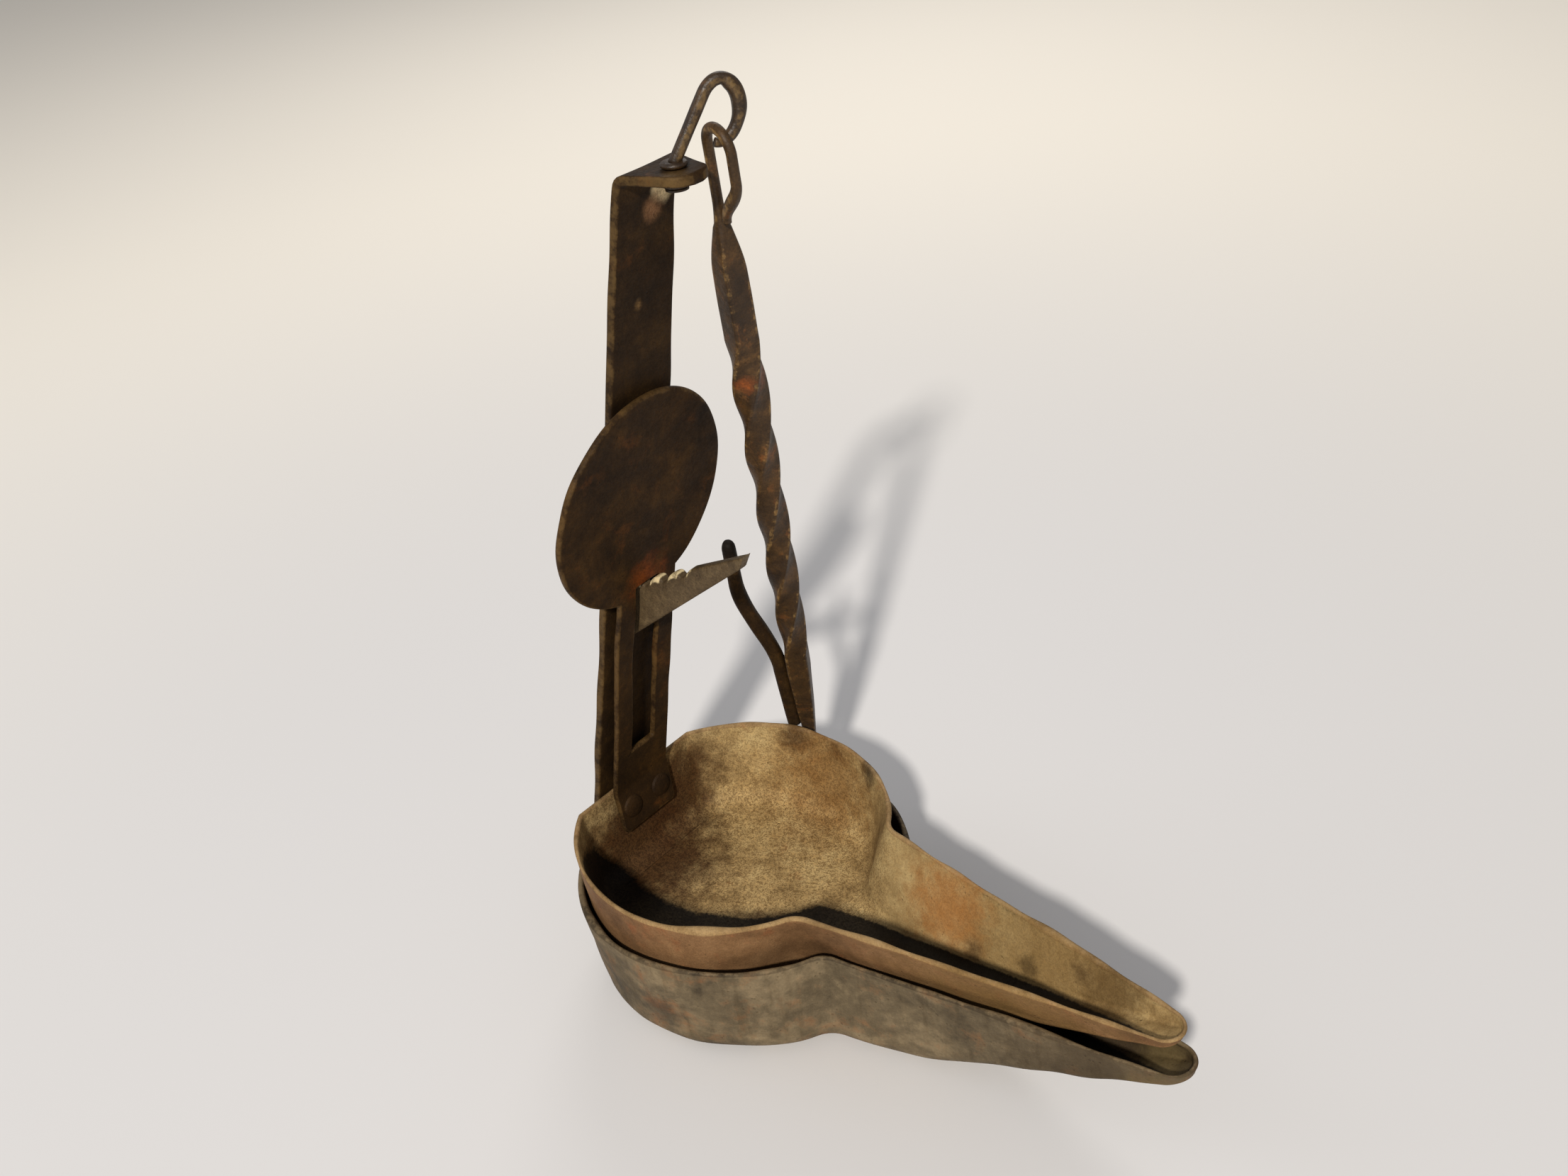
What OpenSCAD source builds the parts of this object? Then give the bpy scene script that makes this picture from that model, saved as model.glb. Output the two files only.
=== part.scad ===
// Double iron pan lamp: two nested spouted pans on an upright bar. The upper pan hangs by its slotted handle
// on a notched arm, and a twisted hanger with a spike and a hook swings from a swivel eye at the top.
// Frame: origin at the centre of the lower bowl's flat underside, +X along the spouts, +Z up, millimetres.

/* [Pans] */
// Outer radius of the lower bowl at its rim
lower_bowl_r = 44.3; // [40:0.1:50]
// Depth of the lower pan
lower_depth = 31; // [28:0.5:38]
// Outer half-width of the lower spout where it meets the bowl
lower_root_half = 17.3; // [15:0.1:20]
// Outer half-width of the lower spout just before its tip
lower_end_half = 6; // [5:0.1:8]
// Reach of the lower spout's straight sides from the bowl's centre
lower_reach = 126; // [110:1:140]
// How far the lower bowl's back is flattened in from its circle
lower_back_cut = 2.9; // [2.5:0.1:4]
// How far the upper bowl's back is flattened in from its circle
upper_back_cut = 5.9; // [5:0.1:8]
// Depth of the upper pan
upper_depth = 26; // [20:0.5:28]
// Height of the upper rim above the lower rim
pan_step = 12; // [8:0.5:16]
// How far the upper spout ends behind the lower one
reach_step = 2; // [0:0.5:8]
// How much narrower the upper spout's end is on each side
end_step = 0.5; // [0:0.1:1]
// Forward tilt of the hanging upper pan, in degrees
upper_tilt = 1.08; // [0:0.02:2]
// Clearance between the nested bowls, level with the lower rim
bowl_gap = 2.24; // [1.5:0.1:4]
// Clearance between the nested spouts, level with the lower rim
spout_gap = 1; // [0.6:0.1:2]
// Thickness of the pans' sheet iron
pan_wall = 1.5; // [1:0.1:2]
// Depth of both spouts at their tips
tip_depth = 3; // [2.5:0.1:5]
// How far the flat floors run ahead of the bowl's centre
floor_run = 63; // [50:1:75]
// Inset of a bowl's wall for each millimetre of depth
bowl_flare = 0.12; // [0.08:0.01:0.16]
// Inset of the lower pan's wall at its neck for each millimetre of depth
lower_neck_flare = 0.03; // [0:0.01:0.1]
// Inset of the lower spout's wall at its tip for each millimetre of depth
lower_tip_flare = 0.23; // [0.15:0.01:0.3]
// Inset of the upper spout's wall for each millimetre of depth
upper_flare = 0.36; // [0.3:0.01:0.4]
// Radius between the bowl's wall and floor
bottom_round = 7; // [5:0.5:10]
// Radius of the hollow corner between bowl and spout
neck_round = 6; // [3:0.5:10]

/* [Bar] */
// Thickness of the bar
bar_thick = 2.2; // [1.6:0.1:3]
// Forward lean of the bar, in degrees
bar_lean = 13.37; // [11:0.01:15]
// Width of the bar at the lower rim
bar_foot_w = 26.3; // [22:0.1:28]
// Width of the bar at its top bend
bar_top_w = 17.6; // [15:0.1:20]
// Height of the flange's underside
bar_top_z = 215.8; // [195:0.1:235]
// Length of the lap on the lower pan's back
bar_lap = 17; // [14:0.5:18]
// Length of the flange at the top
flange_len = 14.5; // [12:0.1:18]
// Width of the flange at its front
flange_end_w = 9; // [8:0.1:12]
// Corner radius of the flange
flange_round = 3; // [1:0.1:3.5]
// Distance of the swivel's hole from the flange's front
hole_setback = 6.5; // [5:0.1:8]

/* [Handle] */
// Thickness of the handle's plate
handle_thick = 1.6; // [1.2:0.1:2]
// Width of the handle's stem
stem_w = 20; // [17:0.1:24]
// Width of the slot in the stem
slot_w = 8.2; // [6:0.1:10]
// Height of the slot's foot above the upper rim, along the bar
slot_foot = 14; // [8:0.5:20]
// Width of the oval disc
disc_w = 55; // [48:0.5:64]
// Height of the oval disc
disc_h = 58.5; // [52:0.5:68]
// Sideways shift of the disc from the stem's middle
disc_shift = -2.7; // [-4:0.1:4]
// Height of the disc's centre above the slot's top
disc_rise = 26; // [24:0.5:32]
// Clearance between the handle's stem and the bar
stem_gap = 2; // [1.5:0.1:3]
// Clearance between the upper pan's back and the bar
back_gap = 0.5; // [0.4:0.1:1]
// Length of the handle's lap inside the upper pan
handle_lap = 14; // [11:0.5:15]

/* [Ratchet] */
// Thickness of the notched arm
arm_thick = 3.5; // [2.5:0.1:5]
// Height of the arm's root above the upper rim, along the bar
arm_rise = 51.3; // [44:0.1:58]
// Height of the arm's root
arm_root = 17.7; // [15:0.1:22]
// Rise of the notched edge, in degrees
arm_angle = 38.5; // [36:0.1:42]
// Reach of the arm's tip from the bar
arm_reach = 33.5; // [30:0.1:37]
// Height of the arm just behind its tip
arm_nose = 4.2; // [3:0.1:6]
// Distance of the first notch from the bar
notch_start = 1.4; // [1:0.1:1.8]
// Distance between notches along the edge
notch_pitch = 7.3; // [6.5:0.1:8]
// Depth of a notch
notch_depth = 1.5; // [1.2:0.05:1.8]
// Number of notches
notch_count = 3; // [2:1:3]
// Shoulder above and below the arm's tenon
tenon_shoulder = 4; // [3:0.1:5.5]
// Height of the peened end behind the bar
peen = 0.9; // [0.5:0.1:1.5]

/* [Rivets] */
// Radius of a rivet's shank
rivet_r = 1.8; // [1.4:0.1:2.4]
// Radius of a rivet's head
rivet_head_r = 3.3; // [2.8:0.1:4]
// Height of a rivet's head
rivet_head = 1; // [0.6:0.1:1.3]
// Distance between the two rivets of a lap
rivet_spacing = 11; // [9:0.5:13]

/* [Swivel] */
// Diameter of the swivel's wire
loop_wire = 2.8; // [2.4:0.1:3]
// Radius of the swivel's shank
shank_r = 1.6; // [1.4:0.05:1.9]
// Direction that the loop faces from the spouts, in degrees
loop_turn = 58; // [50:1:65]
// Long half-axis of the loop
loop_long = 6.4; // [6:0.1:7.5]
// Short half-axis of the loop
loop_short = 4.2; // [4:0.1:5]
// Lean of the loop, in degrees
loop_lean = 12; // [6:1:15]
// Distance of the loop's centre from the swivel's axis
loop_offset = 10.8; // [10.5:0.1:12.5]
// Height of the loop's centre above the flange
loop_height = 9.6; // [9.2:0.1:11]
// Radius of the swivel's collar and burr
collar_r = 2.9; // [2.4:0.1:3.5]
// Height of the collar and of the burr
collar_h = 1.1; // [0.8:0.1:1.5]

/* [Hanger] */
// Diameter of the eye's wire
eye_wire = 2.4; // [2.1:0.1:2.6]
// Half the width of the eye, at the middle of its wire
eye_half = 4.4; // [3.8:0.1:5]
// Length of the eye below the pivot
eye_len = 22; // [19:0.5:26]
// Length over which the rod swells below the eye
swell_len = 18; // [15:1:22]
// Length of the plain rod between the swell and the twist
plain_run = 12; // [8:1:18]
// Length of the twisted stretch
twist_len = 104; // [90:1:116]
// Quarter turns in the twist
quarter_turns = 6; // [4:1:8]
// Distance from the twist to where the hook leaves the rod
split_run = 8; // [6:0.5:12]
// Length of the hook's weld along the rod
weld_len = 22; // [16:0.5:28]
// Length of the spike below the hook's root
spike_len = 25; // [15:0.5:30]
// Thickness of the square rod
rod_w = 6.2; // [5.4:0.1:6.8]
// Length of the hook's free prong along the rod
prong_len = 49; // [42:0.5:54]
// Distance that the prong stands off the rod
prong_spread = 7.6; // [6:0.1:9]
// Diameter of the hook at its root
hook_wire = 4; // [3.4:0.1:4.6]
// Direction in which the hanger leans, from the spouts, in degrees
lean_turn = 124; // [118:1:130]
// Turn of the eye's plane from square to the lean, in degrees
eye_turn = -50; // [-60:1:-45]
// Clearance between the hanging rod and the upper rim
rod_gap = 1.9; // [1.5:0.1:3]

/* [Fits] */
// Clearance between faces that are clamped together
seat_gap = 0.05; // [0.02:0.01:0.1]
// Radial clearance of the swivel in its hole
turn_gap = 0.1; // [0.05:0.01:0.2]
// Clearance above and below the flange, and of the handle on its notch
rest_gap = 0.25; // [0.2:0.05:0.3]
// Clearance between the two linked eyes
link_gap = 0.35; // [0.3:0.05:0.5]

/* [Hidden] */
$fn = 64;

// Past any face of the lamp, for cuts and for plates that another outline trims
beyond = 80;
// Steps along the outlines and sections of the pans
bowl_steps = 15;
neck_steps = 4;
spout_steps = 6;
tip_steps = 5;
wall_steps = 2;
round_steps = 4;
// Angle kept free of points next to the bowl's back corner
corner_arc = 13;
// Sides of the wires and of the rod
wire_sides = 10;
rod_sides = 12;

iron_brown = [0.32, 0.24, 0.16];
pan_tan = [0.55, 0.44, 0.30];
worn_grey = [0.52, 0.46, 0.36];

// Fields of a pan's list of sizes
BOWL = 0;
BACK = 1;
ROOT = 2;
REACH = 3;
END = 4;
DEPTH = 5;
NECK_FLARE = 6;
TIP_FLARE = 7;

lower = [
    lower_bowl_r, lower_bowl_r - lower_back_cut, lower_root_half,
    lower_reach, lower_end_half, lower_depth, lower_neck_flare, lower_tip_flare
];
upper_bowl_r = lower_bowl_r - pan_wall - bowl_gap + bowl_flare * pan_step;
upper_root_half = lower_root_half - pan_wall - spout_gap + upper_flare * pan_step;
upper_rim_z = lower_depth + pan_step;

// The bar's front face bends at the lower rim, leans forward, and turns level at the top
bar_bend = [-lower[BACK] - seat_gap, lower_depth];
wall_lean = atan(bowl_flare);
bar_foot = bar_bend - bar_lap * [-sin(wall_lean), cos(wall_lean)];
bar_corner = [bar_bend.x + (bar_top_z - bar_bend.y) * tan(bar_lean), bar_top_z];
flange_end_x = bar_corner.x + flange_len;
bar_line = [bar_foot, bar_bend, bar_corner, [flange_end_x, bar_top_z]];
flange_top_z = bar_top_z + bar_thick;
hole_x = flange_end_x - hole_setback;
// Distance along the bar from its bend to the height of the upper rim
rim_run = pan_step / cos(bar_lean);

// The upper pan stands against the bar with its flattened back
upper_back_x = bar_bend.x + pan_step * tan(bar_lean) + back_gap;
upper_centre_x = upper_back_x + upper_bowl_r - upper_back_cut;
upper = [
    upper_bowl_r, upper_bowl_r - upper_back_cut, upper_root_half,
    lower_reach - reach_step - upper_centre_x, lower_end_half - end_step, upper_depth,
    upper_flare, upper_flare
];

// Notches: circles whose centres stand off the arm's sloping edge, in distance from the bar and along it
arm_foot_s = rim_run + arm_rise;
arm_top_s = arm_foot_s + arm_root;
notch_r = (pow(notch_pitch / 2, 2) + pow(notch_depth, 2)) / (2 * notch_depth);
edge = [cos(arm_angle), sin(arm_angle)];
edge_out = [-sin(arm_angle), cos(arm_angle)];
function notch_centre(i) =
    [0, arm_top_s] + edge * (notch_start / edge.x + (i + 0.5) * notch_pitch) + edge_out * (notch_r - notch_depth);
arm_tip = [0, arm_top_s] + edge * arm_reach / edge.x;

// The handle's slot hangs on the first notch by the front edge of its top
stem_front = stem_gap + handle_thick;
slot_top = notch_centre(0).y - sqrt(pow(notch_r, 2) - pow(stem_front - notch_centre(0).x, 2)) + rest_gap;
slot_bottom = rim_run + slot_foot;
disc_s = slot_top + disc_rise;

// The pivot of the hanger is the lowest wire of the swivel's loop
loop_r = loop_wire / 2;
eye_r = eye_wire / 2;
link_skew = lean_turn + eye_turn - loop_turn;
// Height of the eye's top wire above the loop's wire that it hangs on
link_rise = loop_r / cos(link_skew) + link_gap + eye_r;
loop_up = [sin(loop_lean), cos(loop_lean)];
loop_side = [cos(loop_lean), -sin(loop_lean)];
loop_centre = [loop_offset, loop_height];
// The eye stands over the middle of the loop's opening, a little up from its lowest point
pivot_shift = link_rise * tan(loop_lean) / 2;
pivot = loop_centre - loop_long * loop_up + [pivot_shift, 0];
lean_dir = [cos(lean_turn), sin(lean_turn)];
pivot_xy = [hole_x, 0] + pivot.x * [cos(loop_turn), sin(loop_turn)];
pivot_z = flange_top_z + pivot.y;
// The rod runs on from one limb of the eye, and leans out just far enough to pass the upper rim
eye_side = [cos(eye_turn), sin(eye_turn)];
rod_xy = pivot_xy - eye_half * dir(lean_turn - 90 + eye_turn);
rod_half = rod_w / 2;
pass_r = upper_bowl_r + rod_half + rod_gap;
from_bowl = rod_xy - [upper_centre_x, 0];
along = from_bowl * lean_dir;
rod_out = sqrt(pow(pass_r, 2) - from_bowl * from_bowl + pow(along, 2)) - along;
rod_lean = atan(rod_out / (pivot_z - upper_rim_z));
// Stations along the hanger, as distances from the pivot
twist_start = eye_len + swell_len + plain_run;
twist_end = twist_start + twist_len;
hook_split = twist_end + split_run;
hook_root = hook_split + weld_len;
hanger_len = hook_root + spike_len;
point_r = eye_r / 3;

// Plane helpers
function dir(a) = [cos(a), sin(a)];
function mix(a, b, t) = a + (b - a) * t;
function clamp01(t) = min(1, max(0, t));
function smooth(t) = let (c = clamp01(t)) c * c * (3 - 2 * c);
function meet(p, d, q, e) = p + d * cross(q - p, e) / cross(d, e);
function left_of(p, q) = let (d = (q - p) / norm(q - p)) [-d.y, d.x];
// A bent strip: a line of points and its mitred copy at distance t to the left
function mitred(line, i, t) =
    let (last = len(line) - 1)
    let (before = left_of(line[max(i - 1, 0)], line[max(i, 1)]))
    let (after = left_of(line[min(i, last - 1)], line[min(i + 1, last)]))
    let (m = before + after)
    line[i] + m * (2 * t / (m * m));
function strip(line, t) = concat(line, [for (i = [len(line) - 1:-1:0]) mitred(line, i, t)]);

// Pan outline: flattened back, bowl arc, hollow neck, straight side, round tip, each with its outward normal
function taper(p) = atan2(p[ROOT] - p[END], p[REACH] - p[BOWL]);
function side_out(p) = [sin(taper(p)), cos(taper(p))];
function side_run(p) = [cos(taper(p)), -sin(taper(p))];
function neck_centre(p) =
    let (off = [p[BOWL], p[ROOT]] * side_out(p) + neck_round)
    side_out(p) * off + side_run(p) * sqrt(pow(p[BOWL] + neck_round, 2) - off * off);
function tip_r(p) = p[END] / cos(taper(p));
function tip_centre(p) = [p[REACH] - sin(taper(p)) * tip_r(p), 0];
function tip_x(p) = tip_centre(p).x + tip_r(p);
function half_outline(p) =
    let (neck = neck_centre(p), neck_a = atan2(neck.y, neck.x))
    let (back_a = acos(-p[BACK] / p[BOWL]), first_a = back_a - corner_arc)
    let (side_start = neck - neck_round * side_out(p), side_end = [p[REACH], p[END]])
    concat(
        [[[-p[BACK], p[BOWL] * sin(back_a)], [0, 0]]],
        [for (i = [0:bowl_steps]) let (d = dir(mix(first_a, neck_a, i / bowl_steps))) [p[BOWL] * d, d]],
        [for (i = [1:neck_steps])
            let (d = dir(mix(neck_a + 180, 270 - taper(p), i / neck_steps))) [neck + neck_round * d, -d]],
        [for (i = [1:spout_steps]) [mix(side_start, side_end, i / spout_steps), side_out(p)]],
        [for (i = [1:tip_steps])
            let (d = dir((90 - taper(p)) * (1 - i / tip_steps))) [tip_centre(p) + tip_r(p) * d, d]]
    );
// The back corner stays where the flattened back and the bowl's arc meet
function inset_point(p, q, d) =
    norm(q[1]) > 0 ? q[0] - q[1] * d
    : [d - p[BACK], sqrt(pow(p[BOWL] - d, 2) - pow(p[BACK] - d, 2))];
function depth_at(p, x) = mix(p[DEPTH], tip_depth, clamp01((x - floor_run) / (tip_x(p) - floor_run)));
function flare_at(p, x) =
    let (to_neck = smooth(2 * x / p[BOWL] - 1), to_tip = clamp01((x - p[BOWL]) / (p[REACH] - p[BOWL])))
    mix(mix(bowl_flare, p[NECK_FLARE], to_neck), p[TIP_FLARE], to_tip);
// Inset and drop of a section's point: a sloping wall, then a round corner to the floor
function section_at(p, x, j, skin) =
    let (deep = depth_at(p, x) - skin, flare = flare_at(p, x))
    let (r = (bottom_round - skin) * deep / p[DEPTH], wall = deep - r)
    let (a = 90 * (j - wall_steps) / round_steps)
    j <= wall_steps ? [skin + flare * wall * j / wall_steps, wall * j / wall_steps]
    : [skin + flare * wall + r * (1 - cos(a)), wall + r * sin(a)];
function pan_ring(p, half, j, skin) =
    let (side = [for (q = half)
        let (s = section_at(p, q[0].x, j, skin), xy = inset_point(p, q, s.x)) [xy.x, xy.y, -s.y]])
    concat(side, [for (i = [len(side) - 2:-1:0]) [side[i].x, -side[i].y, side[i].z]]);
function quad(a, b, c, d) = [[a, b, c], [a, c, d]];
function wall_faces(from, to, n) =
    [for (k = [0:n - 1]) let (m = (k + 1) % n) for (f = quad(from + k, from + m, to + m, to + k)) f];
function floor_faces(at, half_n) =
    [for (i = [0:half_n - 2])
        let (k = 2 * half_n - 2 - i)
        for (f = i < half_n - 2 ? quad(at + i, at + i + 1, at + k - 1, at + k) : [[at + i, at + i + 1, at + k]]) f];
function turned(faces) = [for (f = faces) [f[2], f[1], f[0]]];

// A sheet pan hanging below its own rim plane
module pan_shell(p) {
    half = half_outline(p);
    layers = wall_steps + round_steps;
    n = 2 * len(half) - 1;
    inner = (layers + 1) * n;
    polyhedron(
        points = concat(
            [for (j = [0:layers]) for (q = pan_ring(p, half, j, 0)) q],
            [for (j = [0:layers]) for (q = pan_ring(p, half, j, pan_wall)) q]
        ),
        faces = concat(
            [for (j = [0:layers - 1]) for (f = wall_faces(j * n, (j + 1) * n, n)) f],
            floor_faces(layers * n, len(half)),
            turned([for (j = [0:layers - 1]) for (f = wall_faces(inner + j * n, inner + (j + 1) * n, n)) f]),
            turned(floor_faces(inner + layers * n, len(half))),
            wall_faces(inner, 0, n)
        ),
        convexity = 6
    );
}

// Frames: on the bar's leaning face, on a pan's back wall, and on the hanging upper pan
module on_bar() {
    translate([bar_bend.x, 0, bar_bend.y]) rotate([0, bar_lean, 0]) children();
}
module on_back(p) {
    translate([-p[BACK], 0, 0]) rotate([0, -wall_lean, 0]) children();
}
module as_lower() {
    translate([0, 0, lower_depth]) children();
}
module as_upper() {
    translate([upper_centre_x, 0, upper_rim_z]) rotate([0, upper_tilt, 0]) children();
}
module on_flange() {
    translate([hole_x, 0, flange_top_z]) rotate([0, 0, loop_turn]) children();
}
module on_pivot() {
    translate([pivot_xy.x, pivot_xy.y, pivot_z])
        rotate([0, 0, lean_turn - 90]) rotate([rod_lean, 0, 0]) children();
}

// A side outline in X and Z, and a front outline in Y and Z, each given a thickness
module side_plate(outline, width) {
    rotate([90, 0, 0]) linear_extrude(width, center = true) polygon(outline);
}
module front_plate(thick) {
    rotate([90, 0, 90]) linear_extrude(thick, center = true) children();
}

// A pair of rivet places across a lap, half-way down it
module rivet_places(lap) {
    for (side = [-1, 1])
        translate([0, side * rivet_spacing / 2, -lap / 2]) rotate([0, 90, 0]) children();
}
module rivet_holes(lap) {
    rivet_places(lap) cylinder(r = rivet_r + seat_gap, h = beyond, center = true, $fn = 32);
}
// A rivet along Z that clamps from z0 to z1, with low domed heads
module rivet(z0, z1) {
    dome = [for (a = [0:30:90]) [rivet_head_r * cos(a), rivet_head * sin(a)]];
    rotate_extrude($fn = 32) polygon(concat(
        [for (q = dome) [q.x, z1 + q.y]],
        [for (i = [len(dome) - 1:-1:0]) [dome[i].x, z0 - dome[i].y]],
        [[rivet_r, z0], [rivet_r, z1]]
    ));
}

// Swept wires: rings set square to a flat path, whose plane has the normal b
function tangent(path, i) =
    let (d = path[min(i + 1, len(path) - 1)] - path[max(i - 1, 0)]) d / norm(d);
function signed_pow(v, e) = sign(v) * pow(abs(v), e);
// A ring from round (square = 2) to nearly square, turned about its own centre
function ring(half_u, half_v, square, turn, sides) =
    [for (k = [0:sides - 1])
        let (d = dir(360 * k / sides))
        let (x = half_u * signed_pow(d.x, 2 / square), y = half_v * signed_pow(d.y, 2 / square))
        [x * cos(turn) - y * sin(turn), x * sin(turn) + y * cos(turn)]];
module swept(path, b, rings) {
    sides = len(rings[0]);
    last = (len(path) - 1) * sides;
    polyhedron(
        points = [for (i = [0:len(path) - 1])
            let (u = cross(b, tangent(path, i)))
            for (q = rings[i]) path[i] + q.x * u + q.y * b],
        faces = concat(
            turned([for (i = [0:len(path) - 2]) for (f = wall_faces(i * sides, (i + 1) * sides, sides)) f]),
            [for (k = [1:sides - 2]) [0, k, k + 1]],
            [for (k = [1:sides - 2]) [last, last + k + 1, last + k]]
        ),
        convexity = 6
    );
}

module lower_pan() {
    color(pan_tan) as_lower() difference() {
        pan_shell(lower);
        on_back(lower) rivet_holes(bar_lap);
    }
}

module back_bar() {
    half_foot = bar_foot_w / 2;
    half_top = bar_top_w / 2;
    round_at = [flange_end_x - flange_round, flange_end_w / 2 - flange_round];
    tongue = [for (a = [0:15:90]) round_at + flange_round * dir(a)];
    side = concat(tongue, [[bar_corner.x, half_top], [bar_corner.x, half_foot], [-beyond, half_foot]]);
    tenon = arm_root - 2 * tenon_shoulder;
    color(iron_brown) difference() {
        intersection() {
            side_plate(strip(bar_line, bar_thick), bar_foot_w);
            front_plate(4 * beyond) polygon([
                [-half_foot, 0], [-half_foot, bar_bend.y], [-half_top, bar_top_z], [-half_top, 2 * bar_top_z],
                [half_top, 2 * bar_top_z], [half_top, bar_top_z], [half_foot, bar_bend.y], [half_foot, 0]
            ]);
            linear_extrude(2 * bar_top_z) polygon(concat(
                side, [for (i = [len(side) - 1:-1:0]) [side[i].x, -side[i].y]]
            ));
        }
        translate([hole_x, 0, bar_top_z]) cylinder(r = shank_r + turn_gap, h = beyond, center = true);
        as_lower() on_back(lower) rivet_holes(bar_lap);
        on_bar() translate([0, 0, arm_foot_s + arm_root / 2])
            cube([beyond, arm_thick + 2 * seat_gap, tenon + 2 * seat_gap], center = true);
    }
}

module bar_rivets() {
    outside = -bar_thick - 2 * seat_gap;
    inside = pan_wall * cos(wall_lean) + seat_gap;
    color(iron_brown) as_lower() on_back(lower) rivet_places(bar_lap) rivet(outside, inside);
}

module ratchet_arm() {
    nose = arm_tip - [0.22, 1] * arm_nose;
    tenon = arm_root - 2 * tenon_shoulder;
    rear = bar_thick + seat_gap;
    color(worn_grey) on_bar() {
        difference() {
            side_plate([
                [seat_gap, arm_foot_s], [nose.x, nose.y], arm_tip, [seat_gap, arm_top_s]
            ], arm_thick);
            for (i = [0:notch_count - 1])
                translate([notch_centre(i).x, 0, notch_centre(i).y])
                    rotate([90, 0, 0]) cylinder(r = notch_r, h = beyond, center = true);
        }
        translate([-rear, -arm_thick / 2, arm_foot_s + tenon_shoulder])
            cube([rear + 2 * seat_gap, arm_thick, tenon]);
        translate([-rear - peen, -arm_thick / 2 - peen, arm_foot_s + tenon_shoulder - peen])
            cube([peen, arm_thick + 2 * peen, tenon + 2 * peen]);
    }
}

module upper_pan() {
    color(pan_tan) as_upper() difference() {
        pan_shell(upper);
        on_back(upper) rivet_holes(handle_lap);
    }
}

// The handle's rear face runs up the inside of the pan's back, then parallel to the bar
module pan_handle() {
    wall_a = wall_lean - upper_tilt;
    wall_up = [-sin(wall_a), cos(wall_a)];
    wall_in = [cos(wall_a), sin(wall_a)];
    sheet = pan_wall * cos(wall_lean) + seat_gap;
    back_rim = [upper_centre_x, upper_rim_z] + upper[BACK] * [-cos(upper_tilt), sin(upper_tilt)];
    stem_up = [sin(bar_lean), cos(bar_lean)];
    stem_out = [cos(bar_lean), -sin(bar_lean)];
    lap_foot = back_rim + sheet * wall_in - handle_lap * wall_up;
    bend = meet(lap_foot, wall_up, bar_bend + stem_gap * stem_out, stem_up);
    top = bar_bend + stem_gap * stem_out + (disc_s + disc_h) * stem_up;
    oval = [for (a = [0:4:356]) [disc_shift + disc_w / 2 * cos(a), disc_s + disc_h / 2 * sin(a)]];
    color(iron_brown) difference() {
        intersection() {
            side_plate(strip([lap_foot, bend, top], -handle_thick), 2 * disc_w);
            on_bar() front_plate(2 * beyond) difference() {
                union() {
                    translate([-stem_w / 2, -beyond]) square([stem_w, disc_s + beyond]);
                    polygon(oval);
                }
                translate([-slot_w / 2, slot_bottom]) square([slot_w, slot_top - slot_bottom]);
            }
        }
        as_upper() on_back(upper) rivet_holes(handle_lap);
    }
}

module handle_rivets() {
    inside = pan_wall * cos(wall_lean) + handle_thick + 2 * seat_gap;
    color(iron_brown) as_upper() on_back(upper) rivet_places(handle_lap) rivet(-seat_gap, inside);
}

// A wire from the collar runs straight up to the loop's side and once round the oval
module swivel_eye() {
    stem = [0, rest_gap + collar_h / 2];
    to_stem = stem - loop_centre;
    scaled = [to_stem * loop_up / loop_long, to_stem * loop_side / loop_short];
    touch_a = atan2(scaled.y, scaled.x) + acos(1 / norm(scaled)) + 360;
    end_a = 546;
    steps = 26;
    oval = [for (i = [0:steps])
        let (a = mix(touch_a, end_a, i / steps))
        loop_centre + loop_long * cos(a) * loop_up + loop_short * sin(a) * loop_side];
    flat_path = concat([for (i = [0:2]) mix(stem, oval[0], i / 3)], oval);
    thin = len(flat_path) - 1;
    burr_foot = -bar_thick - 2 * rest_gap - collar_h;
    color(iron_brown) on_flange() {
        swept(
            [for (q = flat_path) [q.x, 0, q.y]], [0, 1, 0],
            [for (i = [0:thin]) let (r = loop_r * mix(1, 0.75, smooth((i / thin - 0.8) / 0.2)))
                ring(r, r, 2, 0, wire_sides)]
        );
        translate([0, 0, rest_gap]) cylinder(r = collar_r, h = collar_h);
        translate([0, 0, burr_foot - peen]) cylinder(r = shank_r, h = collar_h + rest_gap + peen - burr_foot);
        translate([0, 0, burr_foot - peen - seat_gap]) cylinder(r = shank_r + peen, h = peen);
    }
}

module swivel_burr() {
    color(iron_brown) on_flange()
        translate([0, 0, -bar_thick - rest_gap - collar_h - seat_gap]) difference() {
            cylinder(r = collar_r, h = collar_h);
            cylinder(r = shank_r + seat_gap, h = beyond, center = true);
        }
}

// Half the rod's thickness at a distance from the pivot: it swells below the eye and is drawn to a point
function grown(d) = smooth((d - eye_len) / swell_len);
function rod_half_at(d) =
    mix(mix(eye_r, rod_half, grown(d)), point_r, clamp01((d - hook_split) / (hanger_len - hook_split)));

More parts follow.
